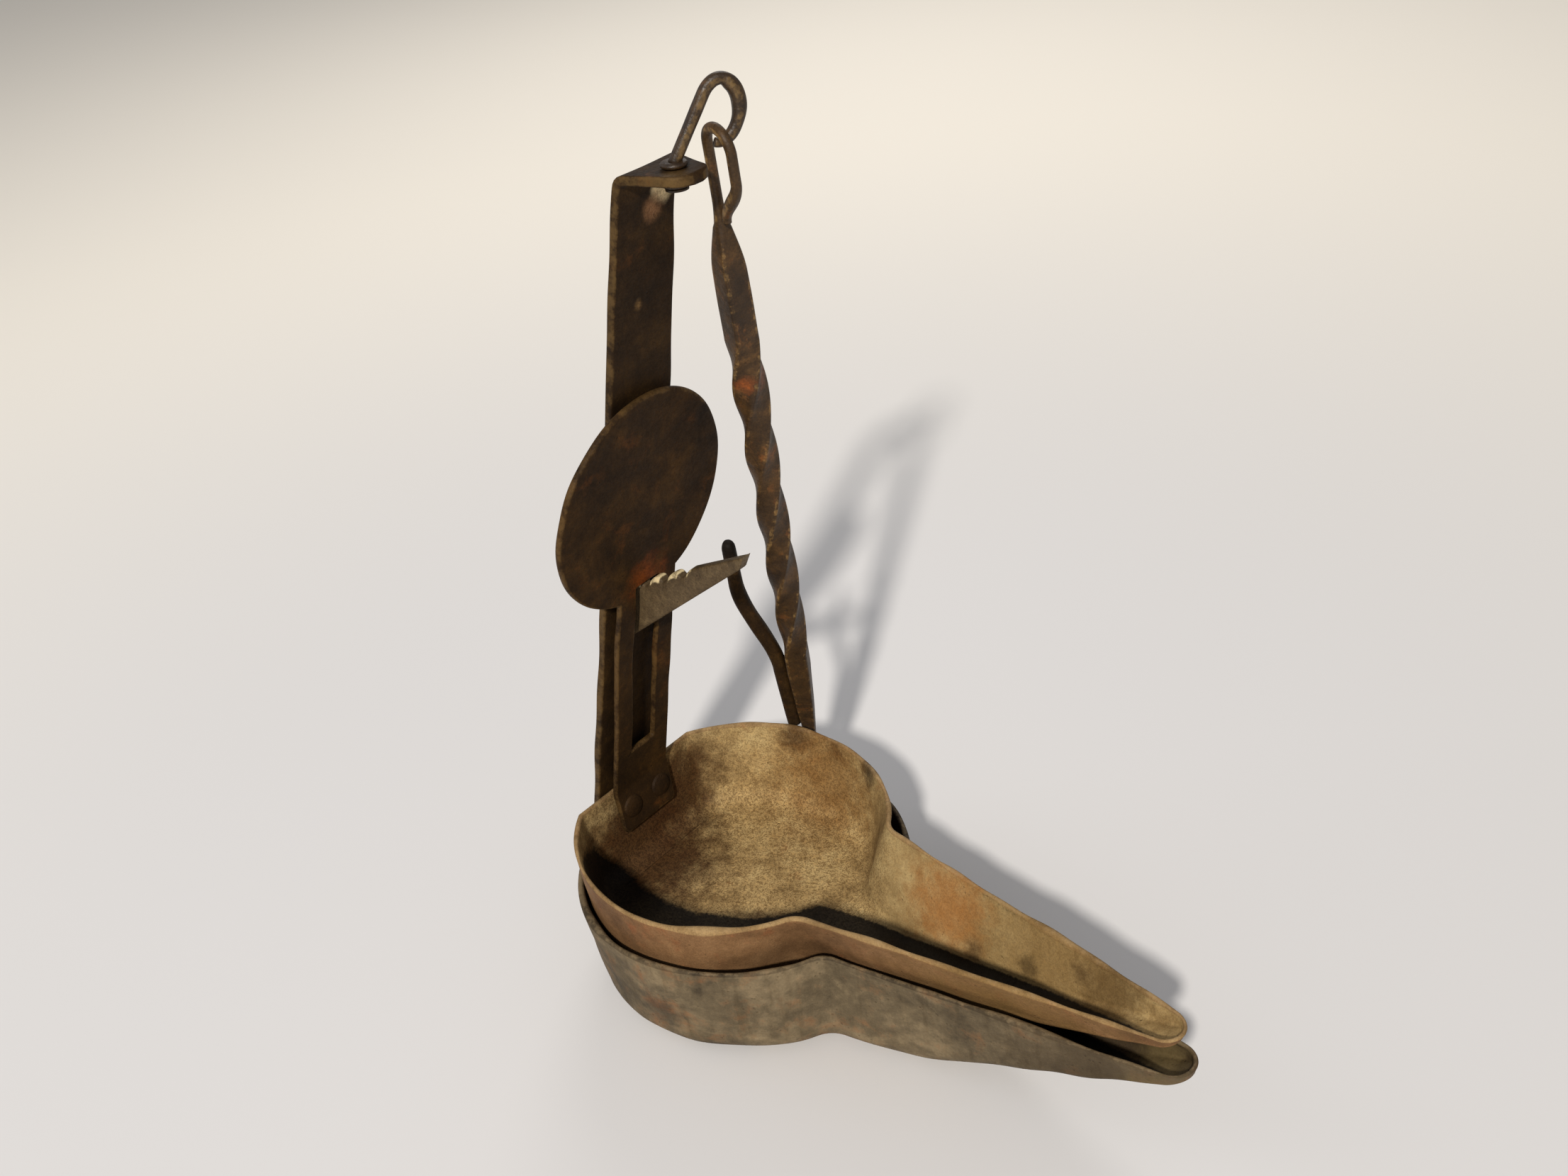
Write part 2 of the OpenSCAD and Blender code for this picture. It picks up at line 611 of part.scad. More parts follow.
// The rod's thin upper end is bent round into an eye; below it the rod is square, twisted, then drawn to a spike
module hanger_rod() {
    bend_steps = 10;
    limb_steps = 7;
    twist_steps = 6 * quarter_turns;
    eye_top = link_rise - eye_half;
    limb_z = -0.35 * eye_len;
    // The free end closes in on the other limb and stops just short of it
    free_r = 0.8 * eye_r;
    free_end = [eye_r + free_r + link_gap - eye_half, 0.1 * eye_len - eye_len];
    free_limb = [for (i = [0:limb_steps])
        let (t = i / limb_steps) [mix(free_end.x, eye_half, smooth(t)), mix(free_end.y, limb_z, t)]];
    bend = [for (i = [0:bend_steps]) [0, eye_top] + eye_half * dir(180 * i / bend_steps)];
    eye = concat(free_limb, bend, [[-eye_half, limb_z], [-eye_half, -eye_len]]);
    swell = [for (t = [0.2, 0.4, 0.6, 0.8, 1]) eye_len + t * swell_len];
    twist = [for (i = [0:twist_steps]) mix(twist_start, twist_end, i / twist_steps)];
    down = concat(swell, twist, [hook_split, hook_root, hanger_len]);
    path = concat(
        [for (q = eye) [q.x * eye_side.x, q.x * eye_side.y, q.y]],
        [for (d = down) [-eye_half * eye_side.x, -eye_half * eye_side.y, -d]]
    );
    // The twist ends with one face towards the hook
    whole_twist = 90 * quarter_turns + eye_turn;
    rings = concat(
        [for (i = [0:len(eye) - 1]) let (r = mix(free_r, eye_r, smooth(i / limb_steps)))
            ring(r, r, 2, 0, rod_sides)],
        [for (d = down)
            let (half = rod_half_at(d), turn = whole_twist * clamp01((d - twist_start) / twist_len))
            ring(half, half, mix(2, 6, grown(d)), turn, rod_sides)]
    );
    color(iron_brown) on_pivot() swept(path, [-eye_side.y, eye_side.x, 0], rings);
}

// A prong welded to the rod's side, which curves away from it and stands up to a blunt point
module hanger_hook() {
    steps = 20;
    root_r = hook_wire / 2;
    down = [for (i = [0:steps]) mix(hook_root, hook_split - prong_len, i / steps)];
    path = [for (d = down)
        let (away = prong_spread * smooth((hook_split - d) / (0.7 * prong_len)))
        [-eye_half * eye_side.x - rod_half_at(d) - seat_gap - root_r - away, -eye_half * eye_side.y, -d]];
    rings = [for (d = down)
        let (r = root_r * mix(1, 0.88, smooth((hook_split - d) / prong_len * 2 - 1)))
        ring(r, r, 2, 0, wire_sides)];
    color(iron_brown) on_pivot() swept(path, [0, 1, 0], rings);
}

lower_pan();
back_bar();
bar_rivets();
ratchet_arm();
upper_pan();
pan_handle();
handle_rivets();
swivel_eye();
swivel_burr();
hanger_rod();
hanger_hook();
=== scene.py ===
"""Double iron pan lamp: beaten-iron surfaces, patina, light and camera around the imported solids.

Sizes are in millimetres in the lamp's own frame, with +X along the spouts, +Z up and the origin under the
lower bowl. Meshes are written in metres.
"""

from __future__ import annotations

import logging
import math
from dataclasses import dataclass, field
from enum import Enum
from typing import Any, Sequence

import bmesh
import bpy
import numpy as np
from mathutils import Matrix


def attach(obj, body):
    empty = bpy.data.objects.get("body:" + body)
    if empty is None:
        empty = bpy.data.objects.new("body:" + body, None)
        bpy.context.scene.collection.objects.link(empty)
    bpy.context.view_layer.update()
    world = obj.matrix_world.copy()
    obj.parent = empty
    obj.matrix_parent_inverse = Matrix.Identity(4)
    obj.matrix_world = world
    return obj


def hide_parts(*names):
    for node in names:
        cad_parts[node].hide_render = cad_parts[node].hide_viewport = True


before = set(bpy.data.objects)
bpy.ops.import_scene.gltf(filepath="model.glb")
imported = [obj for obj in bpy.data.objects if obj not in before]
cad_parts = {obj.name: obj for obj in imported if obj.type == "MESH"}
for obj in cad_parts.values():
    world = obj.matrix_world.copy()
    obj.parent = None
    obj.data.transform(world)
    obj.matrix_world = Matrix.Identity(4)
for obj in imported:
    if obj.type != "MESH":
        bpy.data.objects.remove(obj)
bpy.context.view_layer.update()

log = logging.getLogger("lamp")
MM = 0.001
WELD = 2e-6
SLIVER = 1e-7
ARC_POINTS = 17
Array = np.ndarray
Colour = tuple[float, float, float]


class Body(Enum):
    """The bodies that the pieces move with."""

    FRAME = "frame"
    OIL_PAN = "oil_pan"
    SWIVEL = "swivel"
    HANGER = "hanger"


# Shader expressions


class Value:
    """A shader socket that takes part in arithmetic; each operation adds one Math node."""

    def __init__(self, graph: "Graph", socket: bpy.types.NodeSocket | None) -> None:
        """Keeps the socket and the graph that it belongs to."""
        self.graph = graph
        self.socket = socket

    def _math(self, operation: str, a: Any, b: Any) -> "Value":
        """One Math node on two terms."""
        return self.graph.node("ShaderNodeMath", {"operation": operation}, {0: a, 1: b})

    def __add__(self, other: Any) -> "Value":
        """self + other."""
        return self._math("ADD", self, other)

    def __radd__(self, other: Any) -> "Value":
        """other + self."""
        return self._math("ADD", other, self)

    def __sub__(self, other: Any) -> "Value":
        """self - other."""
        return self._math("SUBTRACT", self, other)

    def __rsub__(self, other: Any) -> "Value":
        """other - self."""
        return self._math("SUBTRACT", other, self)

    def __mul__(self, other: Any) -> "Value":
        """self * other."""
        return self._math("MULTIPLY", self, other)

    def __rmul__(self, other: Any) -> "Value":
        """other * self."""
        return self._math("MULTIPLY", other, self)

    def step(self, low: float, high: float) -> "Value":
        """A smooth step from 0 at low to 1 at high, which may be the smaller number.

        Args:
            low: value that gives 0.
            high: value that gives 1.

        Returns:
            The step as a value.
        """
        flip = low > high
        ends = (high, low) if flip else (low, high)
        rise = self.graph.node(
            "ShaderNodeMapRange",
            {"interpolation_type": "SMOOTHSTEP"},
            {"Value": self, "From Min": ends[0], "From Max": ends[1]},
        )
        return 1 - rise if flip else rise


class Graph:
    """The node tree of one material, on the piece's Object coordinates."""

    def __init__(self, name: str) -> None:
        """Starts a material with an empty tree.

        Args:
            name: the material's name.
        """
        self.material = bpy.data.materials.new(name)
        self.material.use_nodes = True
        self.tree = self.material.node_tree
        self.tree.nodes.clear()
        self.coord = self.node("ShaderNodeTexCoord", output="Object")

    def node(
        self,
        kind: str,
        settings: dict[str, Any] | None = None,
        inputs: dict[Any, Any] | None = None,
        output: Any = 0,
    ) -> Value:
        """Adds a node, sets it, and fills its sockets with values or links.

        Args:
            kind: the node's type.
            settings: its own settings; "stops" are a ramp's positions and colours.
            inputs: socket name or number to a number, a colour or a Value.
            output: name or number of the socket that is returned.

        Returns:
            The chosen output as a Value.
        """
        made = self.tree.nodes.new(kind)
        for key, setting in (settings or {}).items():
            if key == "stops":
                ramp = made.color_ramp.elements
                while len(ramp) < len(setting):
                    ramp.new(1.0)
                for stop, (place, shade) in zip(ramp, setting):
                    stop.position = place
                    stop.color = (*shade, 1.0)
            else:
                setattr(made, key, setting)
        for key, term in (inputs or {}).items():
            if isinstance(term, Value):
                self.tree.links.new(term.socket, made.inputs[key])
            elif isinstance(term, tuple) and len(term) == 3 and made.inputs[key].type == "RGBA":
                made.inputs[key].default_value = (*term, 1.0)
            else:
                made.inputs[key].default_value = term
        return Value(self, made.outputs[output] if len(made.outputs) else None)

    def mix(self, a: Any, b: Any, factor: Any) -> Value:
        """A colour between a and b."""
        return self.node("ShaderNodeMix", {"data_type": "RGBA"}, {0: factor, 6: a, 7: b}, 2)

    def multiply(self, a: Any, b: Any, factor: Any) -> Value:
        """Colour a darkened by colour b, as far as the factor says."""
        settings = {"data_type": "RGBA", "blend_type": "MULTIPLY"}
        return self.node("ShaderNodeMix", settings, {0: factor, 6: a, 7: b}, 2)

    def noise(self, size: float, detail: float = 4.0, rough: float = 0.55, bend: float = 0.0) -> Value:
        """Cloudy noise whose blotches are about size millimetres across."""
        sockets = {"Vector": self.coord, "Scale": 1 / (size * MM), "Detail": detail}
        return self.node("ShaderNodeTexNoise", {}, {**sockets, "Roughness": rough, "Distortion": bend})

    def cells(self, size: float) -> Value:
        """Distance to the nearest of scattered points about size millimetres apart."""
        return self.node("ShaderNodeTexVoronoi", {}, {"Vector": self.coord, "Scale": 1 / (size * MM)})

    def attribute(self, name: str) -> Value:
        """A number stored on the mesh's points."""
        return self.node("ShaderNodeAttribute", {"attribute_name": name}, {}, "Fac")

    def streaks(self, wide: float, tall: float) -> Value:
        """Noise drawn out upwards: wide by tall millimetres."""
        scale = (1 / (wide * MM), 1 / (wide * MM), 1 / (tall * MM))
        place = self.node("ShaderNodeMapping", {}, {"Vector": self.coord, "Scale": scale})
        sockets = {"Vector": place, "Scale": 1.0, "Detail": 4.0, "Roughness": 0.6}
        return self.node("ShaderNodeTexNoise", {}, sockets)

    def away(self, point: Sequence[float]) -> Value:
        """Distance from a point, in millimetres."""
        place = tuple(c * MM for c in point)
        settings = {"operation": "DISTANCE"}
        return self.node("ShaderNodeVectorMath", settings, {0: self.coord, 1: place}, "Value") * (1 / MM)


def tone(red: float, green: float, blue: float) -> Colour:
    """A linear colour from display values of 0 to 255.

    Args:
        red: red value.
        green: green value.
        blue: blue value.

    Returns:
        The colour, each channel from 0 to 1.
    """
    def linear(c: float) -> float:
        """One channel from display to linear."""
        c /= 255
        return c / 12.92 if c <= 0.04045 else ((c + 0.055) / 1.055) ** 2.4
    return (linear(red), linear(green), linear(blue))


@dataclass(frozen=True)
class Spot:
    """A touch of colour round one place, broken up by noise.

    The mask falls from 1 at the inner radius to 0 at the outer one, in millimetres.
    """

    point: tuple[float, float, float]
    inner: float
    outer: float
    colour: Colour
    strength: float = 1.0
    ragged: float = 3.0

    def mask(self, graph: Graph, clouds: Value) -> Value:
        """The spot's mask on a material's graph, its edge moved by the clouds."""
        reach = graph.away(self.point) + (clouds - 0.5) * (2 * self.ragged)
        return reach.step(self.outer, self.inner) * self.strength


# Colours that a skin's own colour is multiplied by, and how far rust and the painted shadow hide it.
PALE_RUN, DARK_RUN = (1.3, 1.28, 1.22), (0.6, 0.56, 0.5)
PALE_SAND, DARK_SAND = (1.5, 1.44, 1.34), (0.46, 0.38, 0.29)
PIT_SHADE = (0.45, 0.4, 0.34)
RUST_COVER = 0.7
PAINTED_SHADOW_COVER = 0.93


@dataclass(frozen=True)
class Palette:
    """Tones of an old iron skin, from dark to light, with its rust and its rubbed edges."""

    dark: Colour
    mid: Colour
    light: Colour
    rust: Colour
    worn: Colour
    rust_share: float = 0.3

    def skin(self, graph: Graph, blotch: Value, clouds: Value, grain: Value, rusty: Value) -> Value:
        """Colour of the skin before spots and wear: blotches and clouds pick the tone, rust lies over it.

        Args:
            graph: the material's graph.
            blotch: noise of the largest size.
            clouds: noise of the middle size.
            grain: noise of the smallest size.
            rusty: noise that the rust follows; a larger share lets more of it show.

        Returns:
            The colour.
        """
        ramp = {"stops": ((0.34, self.dark), (0.5, self.mid), (0.66, self.light))}
        shade = graph.node("ShaderNodeValToRGB", ramp, {0: blotch * 0.55 + clouds * 0.3 + grain * 0.15})
        more = self.rust_share * 0.5
        return graph.mix(shade, self.rust, rusty.step(0.64 - more, 0.8 - more) * RUST_COVER)


@dataclass(frozen=True)
class Patina:
    """A finish: outer and inner palettes, its grain, its pits and its gloss.

    The lengths ending in mm are the sizes of the noise, from blotches down to grain, of the pits, and of the
    relief. The shares say how sandy, rubbed, matt, metallic, glossy and streaked the skin is. The inner
    palette, the painted shadow and part of the sand follow numbers stored on a pan's points.
    """

    name: str
    outer: Palette
    inner: Palette | None = None
    spots: tuple[Spot, ...] = ()
    blotch_mm: float = 16.0
    cloud_mm: float = 4.5
    grain_mm: float = 1.1
    pit_mm: float = 1.7
    relief_mm: float = 0.3
    sandy: float = 0.4
    rub: float = 0.4
    matt: float = 0.7
    metal: float = 0.05
    gloss: float = 0.15
    streak: float = 0.0
    # Near-black colour of the shadow painted inside a pan.
    painted_shadow: Colour = tone(15, 11, 8)

    def material(self) -> bpy.types.Material:
        """Builds the node material.

        Returns:
            The material, ready to be put on a piece.
        """
        g = Graph(self.name)
        blotch = g.noise(self.blotch_mm, detail=6.0, rough=0.62, bend=0.5)
        clouds = g.noise(self.cloud_mm, detail=5.0, rough=0.65)
        grain = g.noise(self.grain_mm, detail=3.0, rough=0.7)
        speck = g.noise(self.grain_mm * 0.42, detail=2.0, rough=0.6)
        rusty = g.noise(self.blotch_mm * 0.8, detail=6.0, rough=0.7, bend=0.4) * 0.7 + clouds * 0.3
        shade = self.outer.skin(g, blotch, clouds, grain, rusty)
        worn: Colour | Value = self.outer.worn
        if self.inner:
            inside = g.attribute("inside")
            shade = g.mix(shade, self.inner.skin(g, blotch, clouds, grain, rusty), inside)
            worn = g.mix(self.outer.worn, self.inner.worn, inside)
        for spot in self.spots:
            shade = g.mix(shade, spot.colour, spot.mask(g, clouds))
        # Painted shadow: near black where the near wall's shadow falls inside a pan, and a painted shade line
        # under the spout's far edge.
        if self.inner:
            shadowed = (g.attribute("soot") + (clouds - 0.5) * 0.6 + (grain - 0.5) * 0.4).step(0.4, 0.75)
            shade = g.mix(shade, self.painted_shadow, shadowed * PAINTED_SHADOW_COVER)
        if self.streak:
            runs = g.streaks(self.blotch_mm * 0.18, self.blotch_mm * 2.2)
            shade = g.multiply(shade, PALE_RUN, runs.step(0.54, 0.74) * self.streak)
            shade = g.multiply(shade, DARK_RUN, runs.step(0.48, 0.3) * self.streak)
        # Dark and pale grains, then pits, then rubbed edges.
        sand = grain * 0.5 + speck * 0.5
        sandy = g.attribute("sand") * (self.sandy * 0.65) + self.sandy * 0.35 if self.inner else self.sandy
        shade = g.multiply(shade, DARK_SAND, sand.step(0.5, 0.56) * sandy)
        shade = g.multiply(shade, PALE_SAND, sand.step(0.49, 0.42) * sandy)
        pits = g.cells(self.pit_mm).step(0.26, 0.08) * clouds.step(0.46, 0.62)
        shade = g.multiply(shade, PIT_SHADE, pits * 0.5)
        rubbed = (g.attribute("wear") + (clouds - 0.5) * 1.5 + (grain - 0.5) * 0.8).step(0.72, 1.2)
        shade = g.mix(shade, worn, rubbed * self.rub)
        relief = speck * 0.2 + grain * 0.5 + clouds * 0.9 + blotch * 1.4 - pits * 0.8
        height = {"Height": relief, "Strength": 0.6, "Distance": self.relief_mm * MM}
        bump = g.node("ShaderNodeBump", {}, height)
        rough = self.matt + (grain - 0.5) * 0.35 + pits * 0.1 - rubbed * 0.12
        shader = g.node(
            "ShaderNodeBsdfPrincipled",
            {},
            {
                "Base Color": shade, "Roughness": rough, "Metallic": self.metal,
                "Specular IOR Level": self.gloss, "Normal": bump,
            },
        )
        g.node("ShaderNodeOutputMaterial", {}, {"Surface": shader})
        return g.material


# Surfaces on grids


def smooth(t: Array | float) -> Array:
    """The smooth step 3t^2 - 2t^3, with t held between 0 and 1."""
    c = np.clip(t, 0.0, 1.0)
    return c * c * (3 - 2 * c)


def blend(a: Any, b: Any, t: Any) -> Any:
    """a at t = 0 and b at t = 1."""
    return a + (b - a) * t


def heading(degrees: Array | float) -> Array:
    """Unit vectors in the plane at angles in degrees, in the last axis."""
    angle = np.radians(degrees)
    return np.stack([np.cos(angle), np.sin(angle)], axis=-1)


@dataclass(frozen=True)
class Ripple:
    """Unevenness of hand work: a sum of plane waves in seeded directions, with seeded phases."""

    height: float
    size: float
    seed: int
    count: int = 8
    scale: float = 3.2
    spread: tuple[float, float] = (0.7, 1.5)

    def at(self, points: Array) -> Array:
        """The ripple at places: the waves' cosines added up, scaled to about -1 to 1, times the height.

        Args:
            points: places in millimetres, in the last axis.

        Returns:
            One number per place.
        """
        rng = np.random.default_rng(self.seed)
        waves = rng.normal(size=(self.count, 3))
        waves /= np.linalg.norm(waves, axis=1, keepdims=True)
        waves *= 2 * np.pi / (self.size * rng.uniform(*self.spread, size=(self.count, 1)))
        phase = rng.uniform(0, 2 * np.pi, size=self.count)
        return self.height * (np.cos(points @ waves.T + phase).sum(axis=-1) / self.scale)


def grid_normals(points: Array, around: bool, along: bool) -> Array:
    """Unit normals of a grid: the cross product of its two directions of travel.

    Args:
        points: grid of places, rows along and columns around.
        around: the columns close on themselves.
        along: the rows close on themselves.

    Returns:
        Normals in the grid's own shape.
    """
    if around:
        du = np.roll(points, -1, 1) - np.roll(points, 1, 1)
    else:
        du = np.gradient(points, axis=1)
    dv = np.roll(points, -1, 0) - np.roll(points, 1, 0) if along else np.gradient(points, axis=0)
    cross = np.cross(du, dv)
    return cross / np.maximum(np.linalg.norm(cross, axis=-1, keepdims=True), 1e-9)


@dataclass
class Sheet:
    """One grid of points with a number or two stored on each of them."""

    points: Array
    around: bool = True
    along: bool = False
    marks: dict[str, Array] = field(default_factory=dict)

    def faces(self) -> Array:
        """Four corners of each cell, as numbers of points.

        Returns:
            An array with four columns.
        """
        rows, cols = self.points.shape[:2]
        number = np.arange(rows * cols).reshape(rows, cols)
        if self.around:
            number = np.concatenate([number, number[:, :1]], axis=1)
        if self.along:
            number = np.concatenate([number, number[:1]], axis=0)
        corners = (number[:-1, :-1], number[:-1, 1:], number[1:, 1:], number[1:, :-1])
        return np.stack([c.ravel() for c in corners], axis=1)


def build(name: str, sheets: Sequence[Sheet], *marks: str) -> bpy.types.Object:
    """Puts sheets into one welded mesh whose faces point outwards.

    Args:
        name: the piece's name.
        sheets: its grids, in millimetres.
        marks: names of the numbers kept on the points; a sheet without one has 0.

    Returns:
        The object, at the origin.
    """
    mesh = bpy.data.meshes.new(name)
    starts = np.cumsum([0] + [s.points[..., 0].size for s in sheets])
    points = np.concatenate([s.points.reshape(-1, 3) for s in sheets]) * MM
    faces = np.concatenate([s.faces() + start for s, start in zip(sheets, starts)])
    mesh.from_pydata(points.tolist(), [], faces.tolist())
    for mark in marks:
        values = [np.broadcast_to(s.marks.get(mark, 0.0), s.points.shape[:2]).ravel() for s in sheets]
        layer = mesh.attributes.new(mark, "FLOAT", "POINT")
        layer.data.foreach_set("value", np.concatenate(values).astype(np.float32))
    work = bmesh.new()
    work.from_mesh(mesh)
    bmesh.ops.remove_doubles(work, verts=work.verts, dist=WELD)
    bmesh.ops.dissolve_degenerate(work, edges=work.edges, dist=SLIVER)
    bmesh.ops.recalc_face_normals(work, faces=work.faces)
    work.to_mesh(mesh)
    work.free()
    mesh.shade_smooth()
    made = bpy.data.objects.new(name, mesh)
    bpy.context.collection.objects.link(made)
    return made


def close_ends(points: Array) -> Array:
    """A tube's rings with one more ring at each end, drawn in to the ring's middle."""
    first = np.broadcast_to(points[:1].mean(axis=1, keepdims=True), points[:1].shape)
    last = np.broadcast_to(points[-1:].mean(axis=1, keepdims=True), points[-1:].shape)
    return np.concatenate([first, points, last])


def pad_ends(values: Array) -> Array:
    """A tube's stored numbers with the end rings' own repeated."""
    return np.concatenate([values[:1], values, values[-1:]])


def squarish(half_u: Array, half_v: Array, power: Array, sides: int) -> Array:
    """Rings from round (power 2) to nearly square: |x/u|^p + |y/v|^p = 1.

    Args:
        half_u: half-size along the first axis, one per ring.
        half_v: half-size along the second axis, one per ring.
        power: exponent, one per ring.
        sides: points in a ring.

    Returns:
        Plane points, one row per ring.
    """
    d = heading(np.arange(sides) * 360 / sides)
    shape = np.sign(d) * np.abs(d) ** (2 / np.asarray(power)[:, None, None])
    return shape * np.stack([half_u, half_v], axis=-1)[:, None, :]


def carry(path: Array, flat_normal: Array, rings: Array) -> Array:
    """A profile carried along a flat path: each ring stands square to the path's direction.

    Args:
        path: points of the path.
        flat_normal: unit normal of the plane that the path lies in.
        rings: plane points of each ring; the first axis lies in the path's plane.

    Returns:
        Grid of points, one row per ring.
    """
    side = np.cross(flat_normal, unit(np.gradient(path, axis=0)))
    return path[:, None] + rings[..., :1] * side[:, None] + rings[..., 1:] * flat_normal


def mirrored(grid: Array) -> Array:
    """A half rim's stored numbers with those of its mirror image after them."""
    return np.concatenate([grid, grid[:, -2:0:-1]], axis=1)


def lengths(line: Array) -> Array:
    """Distance of each point of a line from its start, along the line."""
    return np.concatenate([[0], np.cumsum(np.linalg.norm(np.diff(line, axis=0), axis=1))])


def unit(rows: Array) -> Array:
    """Each row divided by its length."""
    return rows / np.linalg.norm(rows, axis=1, keepdims=True)


def lathe(profile: Array, centre: Array, sides: int = 40) -> Array:
    """A profile of radius and height turned about an upright axis through a centre.

    Args:
        profile: radius and height of each ring.
        centre: a point of the axis.
        sides: points in a ring.

    Returns:
        Grid of points, one row per ring.
    """
    d = heading(np.arange(sides) * 360 / sides)
    ring = np.concatenate([d[None] * profile[:, :1, None], np.zeros((len(profile), sides, 1))], axis=2)
    ring[..., 2] = profile[:, 1:]
    return ring + centre


def filleted(line: Array, radius: Sequence[float], step: float) -> Array:
    """A bent line in the plane with a curve at each inner corner, resampled at even steps.

    The curve is a parabola that meets the two legs where an arc of the radius would.

    Args:
        line: corners of the line.
        radius: radius at each inner corner.
        step: distance between the points returned.

    Returns:
        Points of the rounded line.
    """
    parts = [line[:1]]
    for i, r in enumerate(radius, start=1):
        into, out = unit(np.diff(line[i - 1 : i + 2], axis=0))
        cut = r * math.tan(math.acos(float(np.clip(into @ out, -1, 1))) / 2)
        t = np.linspace(0, 1, ARC_POINTS)[:, None]
        start, end = line[i] - into * cut, line[i] + out * cut
        parts.append((1 - t) ** 2 * start + 2 * t * (1 - t) * line[i] + t**2 * end)
    parts.append(line[-1:])
    points = np.concatenate(parts)
    reach = lengths(points)
    even = np.linspace(0, reach[-1], int(reach[-1] / step) + 1)
    return np.stack([np.interp(even, reach, points[:, k]) for k in range(2)], axis=1)


# The lamp's pieces

UPRIGHT = np.array([0.0, 0.0, 1.0])
SIDEWAYS = np.array([0.0, 1.0, 0.0])


@dataclass(frozen=True)
class Part:
    """What every sub-assembly does with its pieces once they are built."""

    def dress(self, piece: bpy.types.Object, finish: Patina, body: Body, slot: str, *nodes: str) -> None:
        """Gives a new piece its finish, its body and the solids that it stands for.

        Args:
            piece: the new piece.
            finish: its finish.
            body: the body that it moves with.
            slot: name of a material slot; not used.
            nodes: the solids that it replaces.
        """
        piece.data.materials.clear()
        piece.data.materials.append(finish.material())
        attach(piece, body.value)
        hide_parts(*nodes)
        log.info("%s: %d faces for %s", piece.name, len(piece.data.polygons), ", ".join(nodes))

    def paint(self, node: str, finish: Patina) -> None:
        """Puts a finish on a solid that is shown as it is.

        Args:
            node: the solid's name.
            finish: its finish.
        """
        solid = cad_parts[node]
        solid.data.materials.clear()
        solid.data.materials.append(finish.material())
        log.info("%s: painted", node)


